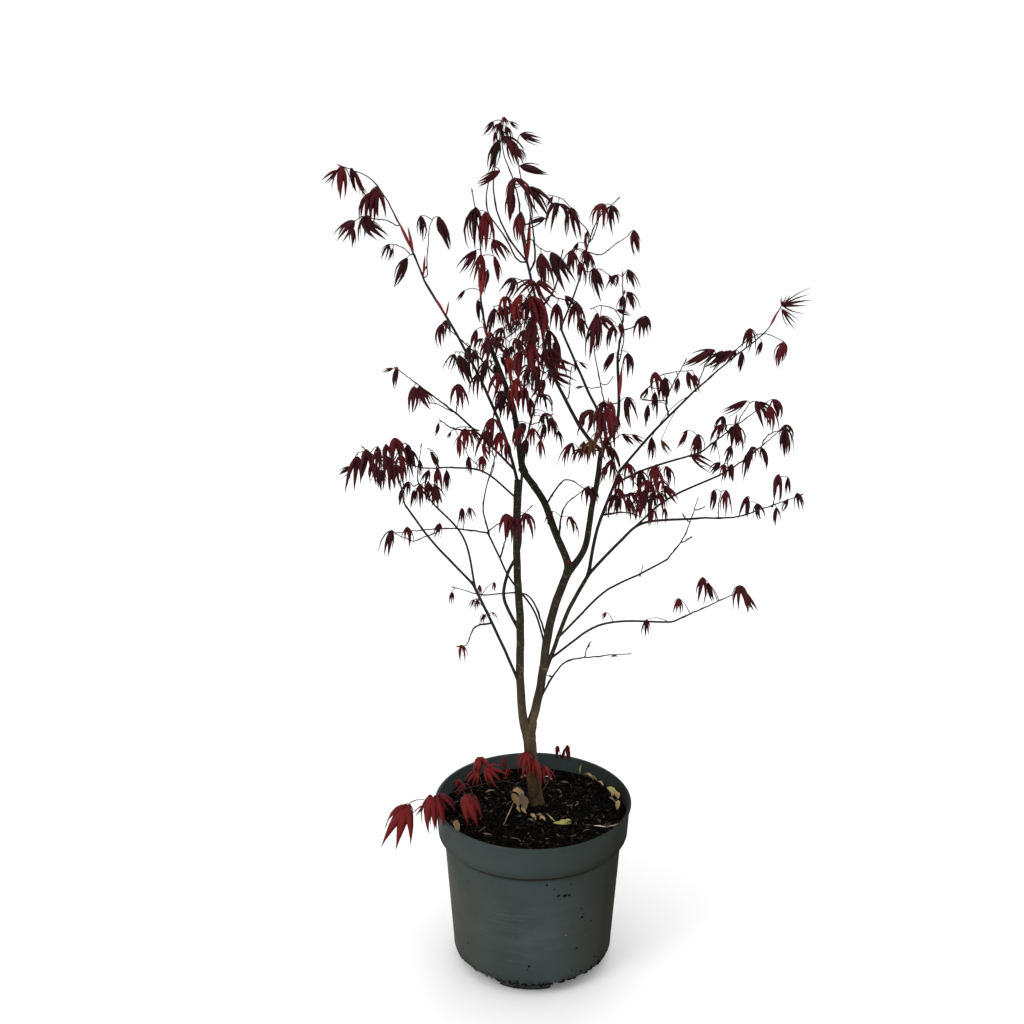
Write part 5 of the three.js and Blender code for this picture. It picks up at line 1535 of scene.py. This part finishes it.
class MAPLE_OT_foliage(bpy.types.Operator):
    """Build the twigs, leaves, leaf stalks and bud scales of every mass"""

    bl_idname = "maple.foliage"
    bl_label = "Foliage"

    def execute(self, context):
        """Grow each mass by the rule, then make every kind of piece from whole arrays."""
        leaf, wood = context.scene.maple_leaf, context.scene.maple_wood
        rng = np.random.default_rng(LEAF_SEED)
        limbs = limb_paths()
        sprays = Sprays(leaf.stalk, leaf.length)
        lines = {name: limb["line"] for name, limb in limbs.items()}
        for row in MASSES + FINE_TWIGS:
            lines[row[0]] = grow_mass(sprays, row, limbs)
        for name, parent, radius, way in TWIGS:
            way = np.array(way, float) * MM
            lines[name] = spline(np.vstack([nearest(lines[parent], way[0]), way]), 36)
            sprays.twigs.append((lines[name], radius * MM, 0.55 * MM))
        for name, leaves in LEAVES.items():
            for row in leaves:
                sprays.hung(lines[name], *row)
        for tone, way, leaves in POT_SHOOTS.values():
            line = spline(np.array(way, float) * MM, 30)
            sprays.twigs.append((line, 0.9 * MM, 0.55 * MM))
            for neck, outward, lean, length, opening, flare, broad in leaves:
                neck = np.array(neck, float) * MM
                sprays.leaves.append((nearest(line, neck), neck, leaning(lean),
                                      unit(np.array(outward, float)), length * MM, opening, tone, flare,
                                      broad))
        for bearer, point, way, length in SPEARS:
            sprays.buds.append((nearest(lines[bearer], np.array(point) * MM), unit(np.array(way, float)),
                                length * MM))

        finishes = [plain("leaf " + tone, getattr(leaf, tone), 0.65, 0.1) for tone in TONES]
        usual = np.array([TONES.index(spray[6]) for spray in sprays.leaves])
        red, olive = TONES.index("red"), TONES.index("olive")
        moved = np.clip(usual + rng.choice((-1, 0, 1), len(usual), p=(0.2, 0.6, 0.2)), 0, red)
        dealt = np.where(usual == olive, olive, moved)
        root, neck, *shape = leaf_frames(sprays.leaves, rng)
        vertices, quads, triangles = leaf_meshes(neck, *shape, rng)
        each = len(quads) // len(dealt), len(triangles) // len(dealt)
        index = np.concatenate([np.repeat(dealt, each[0]), np.repeat(dealt, each[1])])
        leaves = mesh_piece("leaves", vertices, quads, triangles, finishes, index)
        place(leaves, "foliage", *[row[0] for row in MASSES if row[6]])

        stalks = mesh_piece("leaf_stalks", *stalk_tubes(root, neck),
                            [plain("stalk", (0.050, 0.010, 0.011), 0.6)])
        place(stalks, "foliage")
        buds = mesh_piece("bud_scales", *bud_tubes(sprays.buds),
                          [plain("bud scale", (0.17, 0.012, 0.015), 0.5)])
        place(buds, "red_foliage", "pot_left_shoot", "pot_front_shoot", "pot_back_shoot")

        vertices, quads, triangles = twig_tubes(sprays.twigs, rng)
        material = bark("twig bark", wood.young, YOUNG_AGES, (0.08, 0.06, 0.04), 0.65, 0.15)
        twigs = mesh_piece("twigs", vertices, quads, triangles, [material],
                           attributes={"scar": np.zeros(len(vertices))})
        place(twigs, "young_bark", "bare_back_twigs", "bare_low_twigs")
        return {"FINISHED"}


class MAPLE_OT_stage(bpy.types.Operator):
    """Build the floor, the studio light and the camera"""

    bl_idname = "maple.stage"
    bl_label = "Stage"

    # Soft round lamps: (name, place in metres, power in watts, diameter in metres).
    LAMPS = (
        ("key", (-2.6, -2.2, 3.2), 50, 1.8),
        ("fill", (2.8, -2.0, 2.2), 6, 2.6),
        ("back", (0.6, 3.0, 3.0), 20, 2.4),
    )
    LIT = (0, 0, 0.6)  # the point that they face
    SKY = 1.06  # the white sky's strength
    CAMERA = (-0.0296, -1.9, 1.3249)
    TILT = 18.798  # degrees below the level
    LENS = 53.22  # in mm, on a sensor 36 mm wide

    def execute(self, context):
        """A pale floor, three soft lamps, an even sky and the camera."""
        scene = context.scene
        material, _ = shader("floor", grey(0.95), 0.9, 0.0)
        sides, reach = 64, 300.0
        turn = round_turns(sides)
        rim = np.stack([reach * np.cos(turn), reach * np.sin(turn), 0 * turn], -1)
        vertices = np.concatenate([rim, [[0, 0, 0]]])
        j = np.arange(sides)
        triangles = np.stack([np.full(sides, sides), j, (j + 1) % sides], -1)
        floor = mesh_piece("floor", vertices, np.zeros((0, 4), int), triangles, [material])

        world = bpy.data.worlds.new("studio")
        world.use_nodes = True
        sky = world.node_tree.nodes["Background"]
        sky.inputs["Color"].default_value = (1, 1, 1, 1)
        sky.inputs["Strength"].default_value = self.SKY
        scene.world = world
        for name, at, power, size in self.LAMPS:
            lamp = bpy.data.lights.new(name, "AREA")
            lamp.energy = power
            lamp.shape = "DISK"
            lamp.size = size
            item = bpy.data.objects.new(name, lamp)
            item.location = at
            item.rotation_euler = (Vector(self.LIT) - Vector(at)).to_track_quat("-Z", "Y").to_euler()
            scene.collection.objects.link(item)

        camera = bpy.data.cameras.new("camera")
        camera.lens = self.LENS
        camera.sensor_width = 36
        camera.clip_start, camera.clip_end = 0.05, 50
        item = bpy.data.objects.new("camera", camera)
        item.location = self.CAMERA
        item.rotation_euler = (math.radians(90 - self.TILT), 0, 0)
        scene.collection.objects.link(item)
        scene.camera = item
        scene.view_settings.view_transform = "Standard"
        return {"FINISHED"}


class MAPLE_PT_panel(bpy.types.Panel):
    """Lists the maple's settings and builders"""

    bl_label = "Potted Maple"
    bl_idname = "MAPLE_PT_panel"
    bl_space_type = "VIEW_3D"
    bl_region_type = "UI"
    bl_category = "Maple"

    def draw(self, context):
        """Show each group of settings and each operator."""
        for group in ("maple_pot", "maple_wood", "maple_leaf", "maple_compost"):
            settings = getattr(context.scene, group)
            box = self.layout.box()
            for key in settings.__annotations__:
                box.prop(settings, key)
        for operator in OPERATORS:
            self.layout.operator(operator.bl_idname)


OPERATORS = (MAPLE_OT_pot, MAPLE_OT_compost, MAPLE_OT_debris, MAPLE_OT_wood, MAPLE_OT_foliage,
             MAPLE_OT_stage)
GROUPS = {
    "maple_pot": PotSettings,
    "maple_wood": WoodSettings,
    "maple_leaf": LeafSettings,
    "maple_compost": CompostSettings,
}


def register():
    """Register the settings, operators and panel."""
    for key, group in GROUPS.items():
        bpy.utils.register_class(group)
        setattr(bpy.types.Scene, key, PointerProperty(type=group))
    for operator in OPERATORS:
        bpy.utils.register_class(operator)
    bpy.utils.register_class(MAPLE_PT_panel)


def unregister():
    """Take everything out again, in the other order."""
    bpy.utils.unregister_class(MAPLE_PT_panel)
    for operator in reversed(OPERATORS):
        bpy.utils.unregister_class(operator)
    for key, group in reversed(GROUPS.items()):
        delattr(bpy.types.Scene, key)
        bpy.utils.unregister_class(group)


def main():
    """Build every piece in order."""
    register()
    bpy.ops.maple.stage()
    bpy.ops.maple.pot()
    bpy.ops.maple.compost()
    bpy.ops.maple.debris()
    bpy.ops.maple.wood()
    bpy.ops.maple.foliage()


if __name__ == "__main__":
    main()
